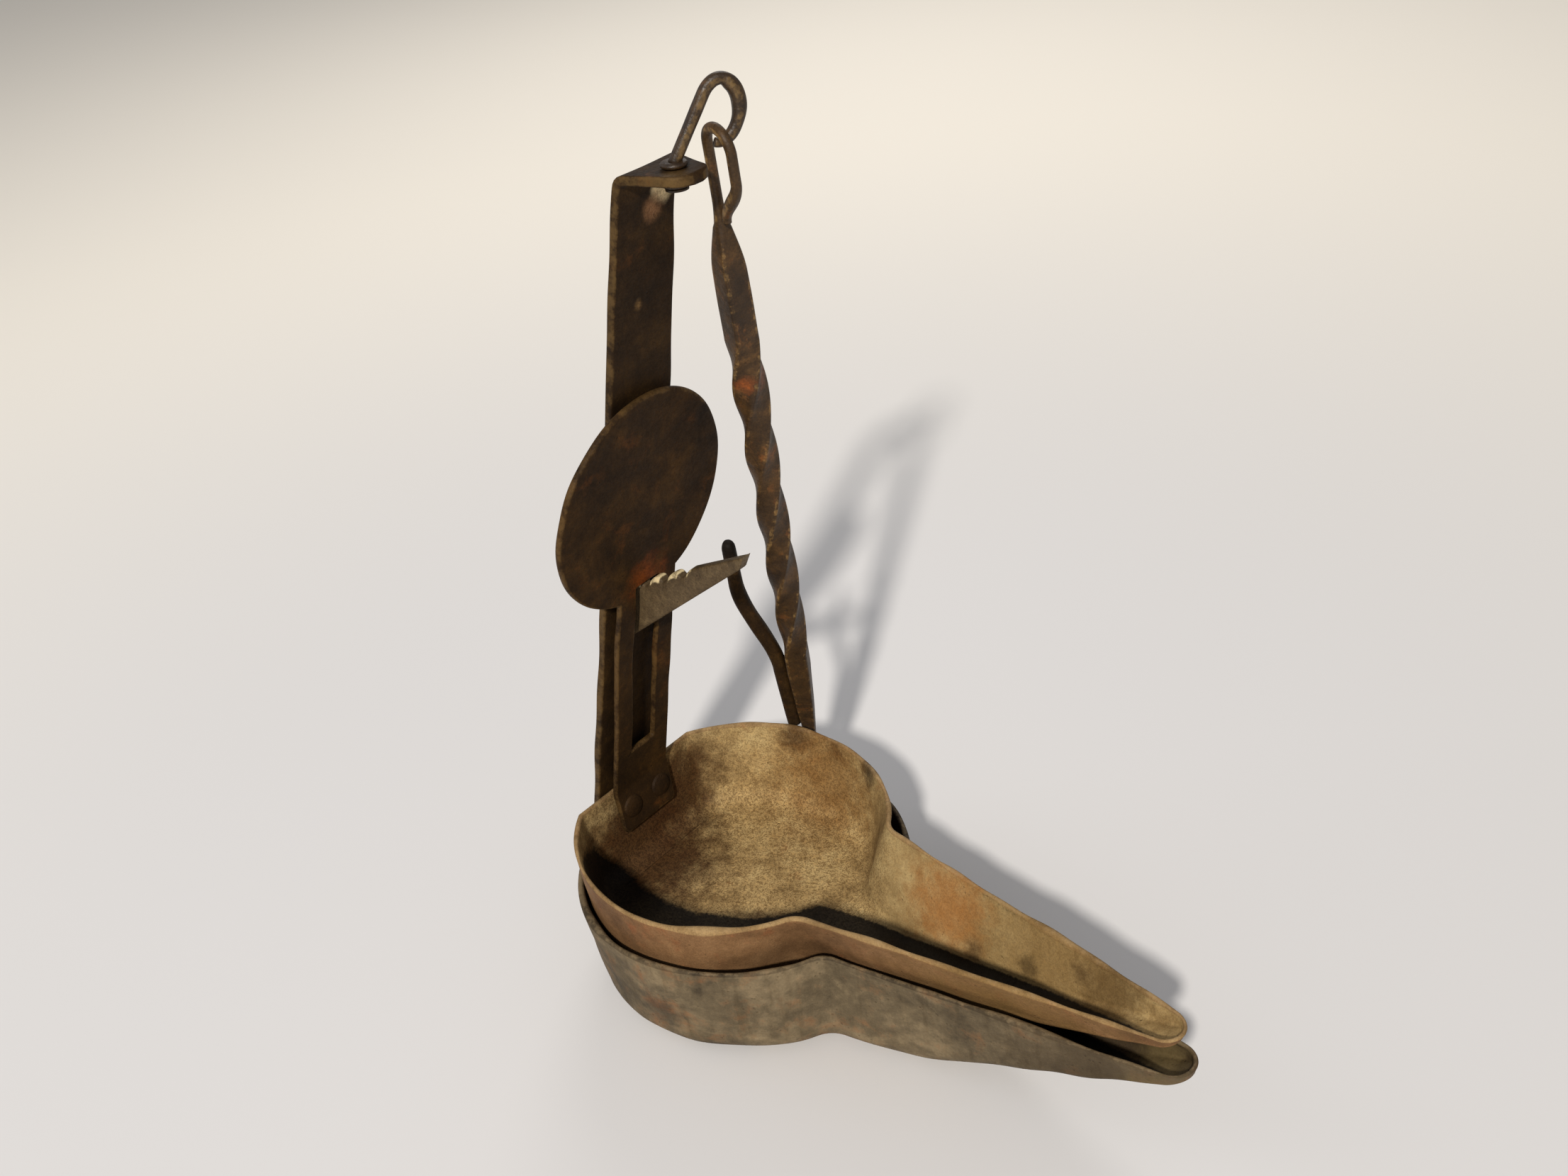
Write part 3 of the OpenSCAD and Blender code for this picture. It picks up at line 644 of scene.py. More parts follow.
@dataclass(frozen=True)
class Bar(Part):
    """The leaning back bar, with places measured out from its front face and up along it."""

    thick: float = 2.2
    lean: float = 13.37
    foot_w: float = 26.3
    top_w: float = 17.6
    top_z: float = 215.8
    flange: float = 14.5
    tongue_w: float = 9.0
    tongue_round: float = 3.0
    hole_back: float = 6.5
    hole_r: float = 1.7
    bend: tuple[float, float] = (-41.45, 31.0)
    foot: tuple[float, float] = (-39.4245, 14.1211)
    bend_round: tuple[float, float] = (5.0, 2.6)
    corner: float = 0.55
    edge_ripple: Ripple = Ripple(0.16, 26, 3)
    face_ripple: Ripple = Ripple(0.12, 16, 4)
    lap_top: float = 34.0

    @property
    def up(self) -> Array:
        """Unit vector up along the bar, in X and Z."""
        return np.array([math.sin(math.radians(self.lean)), math.cos(math.radians(self.lean))])

    @property
    def out(self) -> Array:
        """Unit vector out of the bar's front face, in X and Z."""
        return np.array([math.cos(math.radians(self.lean)), -math.sin(math.radians(self.lean))])

    @property
    def corner_x(self) -> float:
        """X of the front face at the top bend."""
        return self.bend[0] + (self.top_z - self.bend[1]) * math.tan(math.radians(self.lean))

    def place(self, out: Array, across: Array, up: Array) -> Array:
        """Lamp coordinates of points given out from, across and up along the bar's face."""
        flat = np.asarray(self.bend) + out[..., None] * self.out + up[..., None] * self.up
        return np.stack([flat[..., 0], np.broadcast_to(across, out.shape), flat[..., 1]], axis=-1)

    def build(self) -> bpy.types.Object:
        """The bar as a rounded strip carried along its bent middle line, its width falling with height.

        Returns:
            The bar, with the swivel's hole cut through its flange.
        """
        half = self.thick / 2
        end_x = self.corner_x + self.flange
        line = np.array([self.foot, self.bend, [self.corner_x, self.top_z], [end_x, self.top_z]])
        leg = np.diff(line, axis=0)
        left = np.stack([-leg[:, 1], leg[:, 0]], axis=1) / np.linalg.norm(leg, axis=1)[:, None]
        miter = np.concatenate([left[:1], left[:-1] + left[1:], left[-1:]])
        ends = np.array([[0.5], [1], [1], [0.5]])
        middle = line + miter * (2 * half / (miter**2).sum(axis=1, keepdims=True)) * ends
        x, z = filleted(middle, self.bend_round, 0.7).T
        share = np.clip((z - self.bend[1]) / (self.top_z - self.bend[1]), 0, 1)
        width = blend(self.foot_w, self.top_w, share) / 2
        tongue = blend(self.top_w, self.tongue_w, np.clip((x - self.corner_x) / self.flange, 0, 1)) / 2
        on_flange = z > self.top_z - 1.0
        width = np.where(on_flange, np.minimum(width, tongue), width)
        tip = np.clip(x - (end_x - self.tongue_round), 0, self.tongue_round * 0.999)
        cut = self.tongue_round - np.sqrt(self.tongue_round**2 - tip**2)
        width = width - np.where(on_flange, cut, 0)
        spine = np.stack([x, np.zeros_like(x), z], axis=1)
        ring = rounded_plate(width, half, self.corner)
        points = carry(spine, SIDEWAYS, ring)
        edge = np.abs(ring[..., 1]) / width[:, None]
        wear = smooth((edge - 0.86) / 0.14)
        points[..., 1] += self.edge_ripple.at(points) * edge
        lift = self.face_ripple.at(points) * (points[..., 2] > self.lap_top)
        points += lift[..., None] * grid_normals(points, True, False)
        # Rubbed on the outside of the top bend as well as along the edges.
        near_bend = np.exp(-((x - self.corner_x - 0.5) ** 2 + (z - self.top_z - 1.2) ** 2) / 7.0)
        wear = np.maximum(wear, 0.62 * near_bend[:, None])
        made = build("bar_beaten", [Sheet(close_ends(points), marks={"wear": pad_ends(wear)})], "wear")
        self.drill(made, end_x - self.hole_back)
        return made

    def drill(self, strip: bpy.types.Object, hole_x: float) -> None:
        """Cuts the swivel's round hole through the flange, with a Boolean that is then applied.

        Args:
            strip: the bar.
            hole_x: X of the hole's middle.
        """
        shape = np.array([[0.0, -5.0], [self.hole_r, -5.0], [self.hole_r, 5.0], [0.0, 5.0]])
        middle = np.array([hole_x, 0.0, self.top_z + self.thick / 2])
        tool = build("bar_hole", [Sheet(lathe(shape, middle))])
        cut = strip.modifiers.new("hole", "BOOLEAN")
        cut.object = tool
        cut.solver = "EXACT"
        graph = bpy.context.evaluated_depsgraph_get()
        done = bpy.data.meshes.new_from_object(strip.evaluated_get(graph), depsgraph=graph)
        strip.modifiers.clear()
        strip.data = done
        bpy.data.objects.remove(tool)


def rounded_plate(half_w: Array, half_t: float, corner: float) -> Array:
    """Rings of a flat bar: a rectangle with rounded corners, its first axis through the thickness.

    Args:
        half_w: half-width of each ring.
        half_t: half-thickness.
        corner: corner radius.

    Returns:
        Plane points, one row per ring.
    """
    arc = heading(np.linspace(0, 90, 6))
    rows = []
    for k, (su, sv) in enumerate([(1, 1), (-1, 1), (-1, -1), (1, -1)]):
        turn = arc[::-1] if k % 2 else arc
        v = sv * (half_w[:, None] - corner + corner * turn[:, 1])
        u = np.broadcast_to(su * (half_t - corner + corner * turn[:, 0]), v.shape)
        rows.append(np.stack([u, v], axis=-1))
        if k % 2:
            v = np.linspace(sv, -sv, 15)[1:-1] * (half_w[:, None] - corner)
            rows.append(np.stack([np.full_like(v, su * half_t), v], axis=-1))
    return np.concatenate(rows, axis=1)


@dataclass(frozen=True)
class Pan(Part):
    """A beaten sheet pan: round bowl with a flattened back, hollow neck and tapering spout.

    The root and the end are the spout's half-widths at the bowl and at the tip, and the reach is how far it
    goes. A flare is how far a wall leans in for each millimetre that it falls.
    """

    name: str
    bowl: float
    back: float
    root: float
    reach: float
    end: float
    depth: float
    neck_flare: float
    tip_flare: float
    place: tuple[float, float]
    tilt: float = 0.0
    seed: int = 1
    wall: float = 1.5
    bowl_flare: float = 0.12
    bottom: float = 7.0
    neck_round: float = 6.0
    tip_depth: float = 3.0
    floor_run: float = 63.0
    floor_soft: float = 6.0
    # Way and reach of the painted shadow's rays: sideways towards the light, so far for each millimetre of
    # depth.
    shadow_reach: float = 1.26
    shadow_way: tuple[float, float] = (0.5, -0.866)

    @property
    def taper(self) -> float:
        """Angle of the spout's side to its middle, in radians."""
        return math.atan2(self.root - self.end, self.reach - self.bowl)

    @property
    def tip(self) -> tuple[float, float]:
        """Middle and radius of the spout's round tip."""
        r = self.end / math.cos(self.taper)
        return self.reach - math.sin(self.taper) * r, r

    def half(self) -> tuple[Array, Array]:
        """Half the rim from the middle of the back to the tip: which stretch, and how far along it.

        Returns:
            Stretch numbers 0 to 4 (back, bowl, neck, side, tip) and shares from 0 to 1.
        """
        counts = (12, 84, 18, 60, 18)
        kind = np.concatenate([np.full(n, k) for k, n in enumerate(counts)])
        share = np.concatenate([np.arange(n) / n for n in counts])
        return np.append(kind, 4), np.append(share, 1.0)

    def outline(self, inset: Array) -> Array:
        """Plane points of the half rim, each moved in from it by its own inset.

        The back stays flat, the bowl's arc and the tip's arc lose radius, the hollow neck gains radius,
        and the side moves along its normal.

        Args:
            inset: distance in from the rim, one per point of the half rim.

        Returns:
            Points in the pan's plane.
        """
        kind, t = self.half()
        off = np.array([math.sin(self.taper), math.cos(self.taper)])
        run = np.array([math.cos(self.taper), -math.sin(self.taper)])
        far = np.array([self.bowl, self.root]) @ off + self.neck_round
        neck = off * far + run * math.sqrt((self.bowl + self.neck_round) ** 2 - far**2)
        neck_a = math.degrees(math.atan2(neck[1], neck[0]))
        back_a = np.degrees(np.arccos(np.clip(-(self.back - inset) / (self.bowl - inset), -1, 1)))
        corner_y = (self.bowl - inset) * np.sin(np.radians(back_a))
        tip_x, tip_r = self.tip
        bowl = (self.bowl - inset)[:, None] * heading(blend(back_a, neck_a, t))
        hollow = neck + (self.neck_round + inset)[:, None] * heading(
            blend(neck_a + 180, 270 - math.degrees(self.taper), t)
        )
        side = blend(neck - self.neck_round * off, np.array([self.reach, self.end]), t[:, None])
        side = side - inset[:, None] * off
        round_tip = heading((90 - math.degrees(self.taper)) * (1 - t))
        lip = np.array([tip_x, 0]) + (tip_r - inset)[:, None] * round_tip
        back = np.stack([inset - self.back, corner_y * t], axis=1)
        return np.choose(kind[:, None], [back, bowl, hollow, side, lip])

    def section(self) -> tuple[Array, Array, Array, Array]:
        """Insets and drops from the outer floor over the lip to the inner floor, for each rim point.

        The wall falls with its flare, a round corner turns it to the floor, and the lip is a half circle.

        Returns:
            Insets, drops, how much of the width is kept, and the side (0 outer, 1 inner), one row per layer.
        """
        x = self.outline(np.zeros(len(self.half()[0])))[:, 0]
        tip_end = sum(self.tip)
        past = x - self.floor_run
        rise = (past + np.sqrt(past**2 + self.floor_soft**2)) / 2 / (tip_end - self.floor_run)
        deep = blend(self.depth, self.tip_depth, np.clip(rise, 0, 1) * smooth(x / 20))
        flare = blend(
            blend(self.bowl_flare, self.neck_flare, smooth(2 * x / self.bowl - 1)),
            self.tip_flare,
            np.clip((x - self.bowl) / (self.reach - self.bowl), 0, 1),
        )
        lip = self.wall / 2
        spokes = np.linspace(0, 1, 13)[:-1]
        corner = np.radians(np.linspace(90, 0, 10))
        upright = np.linspace(1, 0, 16)[1:]
        roll = np.radians(np.linspace(15, 165, 9))
        rows: list[tuple[Array, Array, float, float]] = []
        for skin, inner in ((0.0, 0.0), (self.wall, 1.0)):
            low = deep - skin
            r = (self.bottom - skin) * low / self.depth
            wall = low - r
            foot = skin + flare * wall
            part = [(foot + r, low, keep, inner) for keep in spokes]
            part += [(foot + r * (1 - math.cos(a)), wall + r * math.sin(a), 1.0, inner) for a in corner]
            for t in upright:
                drop = blend(lip, wall, t)
                part.append((skin + flare * drop, drop, 1.0, inner))
            rows += part if not inner else part[::-1]
            if not inner:
                for a in roll:
                    inset = lip - lip * math.cos(a) + flare * lip
                    rows.append((inset, lip - lip * math.sin(a) + 0 * x, 1.0, 0.5))
        return tuple(np.array([np.broadcast_to(r[k], x.shape) for r in rows]) for k in range(4))

    def build(self) -> bpy.types.Object:
        """The whole pan from its half rim and its section, uneven from the hammer, set in its place.

        Returns:
            The pan, with its inside, its rubbed edges, its painted shadow and its sand marked.
        """
        inset, drop, keep, inner = self.section()
        flat = np.stack([self.outline(row) for row in inset])
        flat[..., 1] *= keep
        half = np.concatenate([flat, -drop[..., None]], axis=2)
        points = mirrored(half)
        points[:, half.shape[1] :, 1] *= -1
        drop, keep, inner = mirrored(drop), mirrored(keep), mirrored(inner)
        # The back, where the bar or the handle is riveted, and the outer floor stay flat.
        free = smooth((points[..., 0] + self.back - 4) / 14)
        floor = np.where(inner > 0.5, 1.0, smooth((keep * (self.depth - drop)) / 4))
        beat = Ripple(0.2, 15, self.seed).at(points) + Ripple(0.22, 34, self.seed + 1).at(points)
        points += (beat * free * floor)[..., None] * grid_normals(points, True, False)
        lip = np.exp(-drop / 5) * free
        points[..., 2] += Ripple(0.3, 42, self.seed + 2).at(points * np.array([1, 1, 0])) * lip
        side = self.bowl - 0.02
        points = np.clip(points, (-np.inf, -side, -self.depth), (np.inf, side, np.inf))
        low_edge = np.exp(-np.abs(drop - self.depth + 3) / 2.5) * (1 - inner)
        wear = np.maximum(np.exp(-drop / 1.1), 0.45 * low_edge)
        # Painted shadow and painted shade on the inside.
        soot = self.painted_shadow(points, drop, inner)
        sand = inner * smooth((self.bowl + 4 - np.hypot(points[..., 0], points[..., 1])) / 12)
        turn = math.radians(self.tilt)
        x, z = points[..., 0].copy(), points[..., 2].copy()
        points[..., 0] = self.place[0] + x * math.cos(turn) + z * math.sin(turn)
        points[..., 2] = self.place[1] - x * math.sin(turn) + z * math.cos(turn)
        marks = {"wear": wear, "inside": inner, "soot": soot, "sand": sand}
        return build(self.name, [Sheet(points, marks=marks)], *marks)

    def painted_shadow(self, points: Array, drop: Array, inner: Array) -> Array:
        """Where shadow is painted on the inside: a band under the near rim, where the near wall's shadow
        falls, and a thin line of painted shade under the spout's far edge.

        A place is carried sideways, one fixed way, by a share of its depth, as a ray towards a light goes.
        The band lies where that leads outside the rim.

        Args:
            points: places in the pan's own frame.
            drop: depth of each below the rim.
            inner: 1 on the inside.

        Returns:
            Shares from 0 to 1.
        """
        far = points[..., :2] + drop[..., None] * self.shadow_reach * np.array(self.shadow_way)
        width = blend(self.root, self.end, (far[..., 0] - self.bowl) / (self.reach - self.bowl))
        bowl = smooth((self.bowl - np.linalg.norm(far, axis=-1)) / 5 + 0.5)
        spout = smooth((width - np.abs(far[..., 1])) / 4 + 0.5) * smooth(far[..., 0] / self.bowl * 2 - 1)
        # Painted shade: a thin dark line just under the rim, on the spout's far side.
        line = np.exp(-(((drop - 0.7) / 1.5) ** 2)) * smooth((points[..., 0] - 46) / 20)
        line = line * (points[..., 1] > 0)
        return np.maximum((1 - bowl) * (1 - spout), 0.45 * line) * inner


@dataclass(frozen=True)
class Handle(Part):
    """The upper pan's handle: a riveted lap, a slotted stem that follows the bar, and an oval disc."""

    bar: Bar
    pan: Pan
    thick: float = 1.6
    stem_w: float = 20.0
    stem_gap: float = 2.0
    slot_w: float = 8.2
    slot_s: tuple[float, float] = (26.334, 82.934)
    disc: tuple[float, float] = (55.0, 58.5)
    disc_s: float = 108.934
    shift: float = -2.7
    lap: float = 14.0
    lap_round: float = 1.6
    bend_round: float = 6.0
    line_end: float = 160.0
    soft: float = 0.45
    counts: tuple[int, int, int, int] = (24, 70, 150, 70)
    face_ripple: Ripple = Ripple(0.2, 17, 21)
    bow_ripple: Ripple = Ripple(0.32, 40, 22)

    def path(self) -> tuple[Array, float]:
        """The rear face's bent line from the lap's foot to above the disc.

        Returns:
            Its corners in X and Z, and the bar length at the lap's foot.
        """
        lean = math.atan(self.pan.bowl_flare)
        a = lean - math.radians(self.pan.tilt)
        tilt = math.radians(self.pan.tilt)
        up, into = np.array([-math.sin(a), math.cos(a)]), np.array([math.cos(a), math.sin(a)])
        rim = np.array(self.pan.place) + self.pan.back * np.array([-math.cos(tilt), math.sin(tilt)])
        foot = rim + (self.pan.wall * math.cos(lean) + 0.05) * into - self.lap * up
        stem = np.array(self.bar.bend) + self.stem_gap * self.bar.out
        size = np.array([up, -self.bar.up]).T
        reach = np.linalg.solve(size, stem - foot)
        bend = foot + up * reach[0]
        bend_s = float((bend - stem) @ self.bar.up)
        return np.array([foot, bend, stem + self.line_end * self.bar.up]), bend_s - float(reach[0])

    def loops(self, foot_s: float) -> tuple[Array, Array]:
        """The outer edge and the slot's edge, point for point, as places across and along the stem.

        Args:
            foot_s: bar length at the lap's foot.

        Returns:
            The two closed loops, both counter-clockwise from the lap's left corner.
        """
        half, slot = self.stem_w / 2, self.slot_w / 2
        low, high = self.slot_s
        wide, tall = self.disc[0] / 2, self.disc[1] / 2
        right = -math.degrees(math.acos((half - self.shift) / wide))
        left = 360 - math.degrees(math.acos((-half - self.shift) / wide))
        share = [np.arange(n) / n for n in self.counts]
        oval = heading(blend(right, left, share[2])) * np.array([wide, tall])
        oval = oval + np.array([self.shift, self.disc_s])
        join = [self.disc_s + tall * math.sin(math.radians(a)) for a in (right, left)]
        across = blend(-half, half, share[0])
        begin = foot_s + self.lap_round
        over = np.clip(np.abs(across) - half + self.lap_round, 0, self.lap_round)
        foot = begin - np.sqrt(self.lap_round**2 - over**2)

        def edge(y: Array | float, s: Array | float) -> Array:
            """Points from places across and along, of which one may be a single number."""
            return np.stack(np.broadcast_arrays(np.asarray(y, float), s), axis=1)

        outer = [edge(across, foot), edge(half, blend(begin, join[0], share[1])), oval]
        outer.append(edge(-half, blend(join[1], begin, share[3])))
        inner = [edge(blend(-slot, slot, share[0]), low), edge(slot, blend(low, high, share[1]))]
        inner += [edge(blend(slot, -slot, share[2]), high), edge(-slot, blend(high, low, share[3]))]
        return np.concatenate(outer), np.concatenate(inner)

    def build(self) -> bpy.types.Object:
        """The plate between the slot's edge and the outer edge, given its thickness and bent to its line.

        Returns:
            The handle, with its rubbed edges marked.
        """
        line, foot_s = self.path()
        outer, inner = self.loops(foot_s)
        soft, half = self.soft, self.thick / 2

        def outward(loop: Array) -> Array:
            """Unit normals of a counter-clockwise loop."""
            run = np.roll(loop, -1, 0) - np.roll(loop, 1, 0)
            run /= np.maximum(np.linalg.norm(run, axis=1, keepdims=True), 1e-9)
            return np.stack([run[:, 1], -run[:, 0]], axis=1)

        out_n, in_n = outward(outer), outward(inner)
        share = np.linspace(0, 1, 30)
        arc = np.radians(np.linspace(90, -90, 9))[1:-1]
        # Rings: from the slot over the front, round the outer edge, back over the rear and into the slot.
        flat = [(r, half, 0.0) for r in share]
        flat += [(1.0, half * math.sin(a), math.cos(a)) for a in arc]
        flat += [(r, -half, 0.0) for r in share[::-1]]
        flat += [(0.0, -half * math.sin(a), math.cos(a)) for a in arc]
        r, rise, bulge = (np.array(c)[:, None, None] for c in zip(*flat))
        big = outer - out_n * soft + out_n * soft * bulge * r
        small = inner + in_n * soft - in_n * soft * bulge * (1 - r)
        plane = blend(small, big, r)
        across, along = plane[..., 0], plane[..., 1]
        rear = filleted(line, (self.bend_round,), 0.5)
        reach = foot_s + lengths(rear)
        run = unit(np.gradient(rear, axis=0))
        front = np.stack([run[:, 1], -run[:, 0]], axis=1)

        def at(table: Array) -> Array:
            """Rows of two numbers along the rear line, read off at each point's place along it."""
            return np.stack([np.interp(along, reach, table[:, k]) for k in range(2)], axis=-1)

        flat_place = np.stack([across, along, 0 * across], axis=-1)
        free = smooth((along - self.slot_s[0]) / 20)
        bow = self.face_ripple.at(flat_place) + self.bow_ripple.at(flat_place) * free
        xz = at(rear) + at(front) * (half + rise[..., 0] + bow * free)[..., None]
        points = np.stack([xz[..., 0], across, xz[..., 1]], axis=-1)
        size = np.linalg.norm(outer - inner, axis=1)
        edge = np.minimum((1 - r[..., 0]) * size, r[..., 0] * size)
        wear = np.exp(-edge / 0.8)
        return build("handle_beaten", [Sheet(points, along=True, marks={"wear": wear})], "wear")


@dataclass(frozen=True)
class Ratchet(Part):
    """The notched arm on the bar's front, with its tenon peened over behind."""

    bar: Bar
    thick: float = 3.5
    foot_s: float = 63.634
    root: float = 17.7
    angle: float = 38.5
    reach: float = 33.5
    nose: float = 4.2
    notch_start: float = 1.4
    pitch: float = 7.3
    deep: float = 1.5
    notches: int = 3
    shoulder: float = 4.0
    peen: float = 0.9
    gap: float = 0.05
    tip_run: float = 1.1
    squareness: float = 7.0
    side_ripple: Ripple = Ripple(0.1, 12, 31)

    def build(self) -> bpy.types.Object:
        """Rounded rings from the bar to the tip, between a straight foot and a waved edge.

        The edge is a straight slope less a wave of |sin(pi u)|^3, where u grows by 1 with each notch.

        Returns:
            The arm, with its tooth tops marked as rubbed.
        """
        slope = math.radians(self.angle)
        edge = np.array([math.cos(slope), math.sin(slope)])
        top_s = self.foot_s + self.root
        tip_out = np.linspace(self.reach - self.tip_run, self.reach - 0.02, 18)
        out = np.concatenate([np.linspace(self.gap, self.reach - self.tip_run - 0.1, 260), tip_out])
        line = top_s + out * math.tan(slope)
        tooth = np.clip((out - self.notch_start) / edge[0] / self.pitch, 0, self.notches)
        top = line - self.deep / edge[0] * 1.1 * np.abs(np.sin(np.pi * tooth)) ** 3
        tip_s = top_s + self.reach * math.tan(slope)
        nose = (self.reach - 0.22 * self.nose, tip_s - self.nose)
        foot = np.interp(out, [self.gap, nose[0], self.reach], [self.foot_s, nose[1], tip_s])
        half = (top - foot) / 2
        thin = self.thick / 2 * blend(1, 0.8, out / self.reach)
        ring = squarish(np.maximum(half, 0.15), thin, np.full(len(out), self.squareness), 72)
        across = ring[..., 1] + self.side_ripple.at(np.stack([out, top, foot], axis=1))[:, None]
        up = (foot + half)[:, None] + ring[..., 0]
        points = self.bar.place(np.broadcast_to(out[:, None], up.shape), across, up)
        # Rubbed most on the tooth tops, and only on the part nearer the bar.
        crest = blend(0.45, 1.0, smooth((1.2 - line + top) / 0.8)) * smooth((self.reach * 0.6 - out) / 3)
        wear = 1.15 * smooth((up - (top - 2.9)[:, None]) / 2.0) * crest[:, None]
        sheets = [Sheet(close_ends(points), marks={"wear": pad_ends(wear)})]
        sheets.append(Sheet(close_ends(self.tenon())))
        return build("ratchet_filed", sheets, "wear")

    def tenon(self) -> Array:
        """Rings of the peened end: a low pillow on the bar's rear face over the tenon.

        Returns:
            Grid of points, one row per ring.
        """
        rear = -self.bar.thick - self.gap
        out = np.array([rear - self.peen, rear - self.peen * 0.8, rear - self.peen * 0.4, rear, 0.3])
        grow = np.array([0.1, 0.7, 1.0, 1.0, 0.0]) * self.peen
        tall = (self.root - 2 * self.shoulder) / 2 + grow
        ring = squarish(tall, self.thick / 2 + grow, np.full(5, 5.0), 48)
        up = self.foot_s + self.root / 2 + ring[..., 0]
        return self.bar.place(np.broadcast_to(out[:, None], up.shape), ring[..., 1], up)


def flanks(sides: int) -> Array:
    """1 on the two sides of a wire's ring that face out of the plane of its bend, 0 between them."""
    ridge = np.abs(np.sin(np.arange(sides) * 2 * np.pi / sides))
    return smooth((ridge - 0.6) / 0.4)


def turned(points: Array, axis: int, degrees: float) -> Array:
    """Points turned about one of the axes by the right-hand rule.

    Args:
        points: places, in the last axis.
        axis: 0, 1 or 2 for X, Y or Z.
        degrees: angle of the turn.

    Returns:
        The turned places.
    """
    c, s = math.cos(math.radians(degrees)), math.sin(math.radians(degrees))
    a, b = (axis + 1) % 3, (axis + 2) % 3
    made = points.copy()
    made[..., a] = c * points[..., a] - s * points[..., b]
    made[..., b] = s * points[..., a] + c * points[..., b]
    return made


@dataclass(frozen=True)
class Swivel(Part):
    """The wire loop on the bar's flange, with its collar, shank and peened foot."""

    place: tuple[float, float, float] = (10.4733, 0.0, 218.0)
    turn: float = 58.0
    wire: float = 2.8
    long: float = 6.4
    short: float = 4.2
    lean: float = 12.0
    centre: tuple[float, float] = (10.8, 9.6)
    end_angle: float = 546.0
    collar: tuple[float, float] = (2.9, 1.1)
    shank: float = 1.6
    rest: float = 0.25
    flange: float = 2.2
    peen: float = 0.9
    near_share: float = 0.92
    far_gain: float = 0.24
    far_drop: float = 0.32
    end_share: float = 0.75
    bevel: float = 0.3
    sides: int = 28
    wire_ripple: Ripple = Ripple(0.02, 7, 41)

    def build(self) -> bpy.types.Object:
        """A round wire carried from the collar straight to the loop's side and round the oval.

        The wire is a little thinner on the near side and thicker on the far one, and tapers at its free end.

        Returns:
            The loop, collar, shank and peened foot in one mesh.
        """
        lean = math.radians(self.lean)
        up = np.array([math.sin(lean), math.cos(lean)])
        side = np.array([math.cos(lean), -math.sin(lean)])
        stem = np.array([0, self.rest + self.collar[1] / 2])
        to_stem = stem - np.array(self.centre)
        flat = np.array([to_stem @ up / self.long, to_stem @ side / self.short])
        touch = math.degrees(math.atan2(flat[1], flat[0]) + math.acos(1 / np.linalg.norm(flat))) + 360
        ring = heading(np.linspace(touch, self.end_angle, 110))
        oval = np.array(self.centre) + self.long * ring[:, :1] * up + self.short * ring[:, 1:] * side
        line = np.concatenate([blend(stem, oval[0], np.linspace(0, 1, 22)[:-1, None]), oval])
        path = np.stack([line[:, 0], 0 * line[:, 0], line[:, 1]], axis=1)
        t = np.linspace(0, 1, len(path))
        far_side = smooth((path[:, 2] - 6.0) / 5.0) * smooth((t - 0.36) / 0.1)
        path[:, 2] -= self.far_drop * far_side
        taper = blend(1, self.end_share, smooth((t - 0.8) / 0.2))
        r = self.wire / 2 * taper
        r = r * (self.near_share + self.far_gain * far_side + self.wire_ripple.at(path))
        wire = carry(path, SIDEWAYS, squarish(r, r, np.full(len(r), 2.3), self.sides))
        bevel = self.bevel
        w, h = self.collar
        deep = -self.flange - 2 * self.rest - h - self.peen - 0.05
        foot = self.shank + self.peen
        collar = np.array([
            [0, self.rest], [w - bevel, self.rest], [w, self.rest + bevel], [w, self.rest + h - bevel],
            [w - bevel, self.rest + h], [0, self.rest + h],
        ])
        shank = np.array([
            [0, self.rest + h / 2], [self.shank, self.rest + h / 2], [self.shank, deep + self.peen],
            [foot, deep + self.peen], [foot, deep + bevel], [foot * 0.6, deep], [0, deep],
        ])
        sheets = [Sheet(close_ends(wire))] + [Sheet(lathe(p, np.zeros(3))) for p in (collar, shank)]
        for sheet in sheets:
            sheet.points = turned(sheet.points, 2, self.turn) + np.array(self.place)
        wear = 0.95 * flanks(self.sides)
        sheets[0].marks["wear"] = np.broadcast_to(wear, sheets[0].points.shape[:2])
        return build("swivel_wire", sheets, "wear")


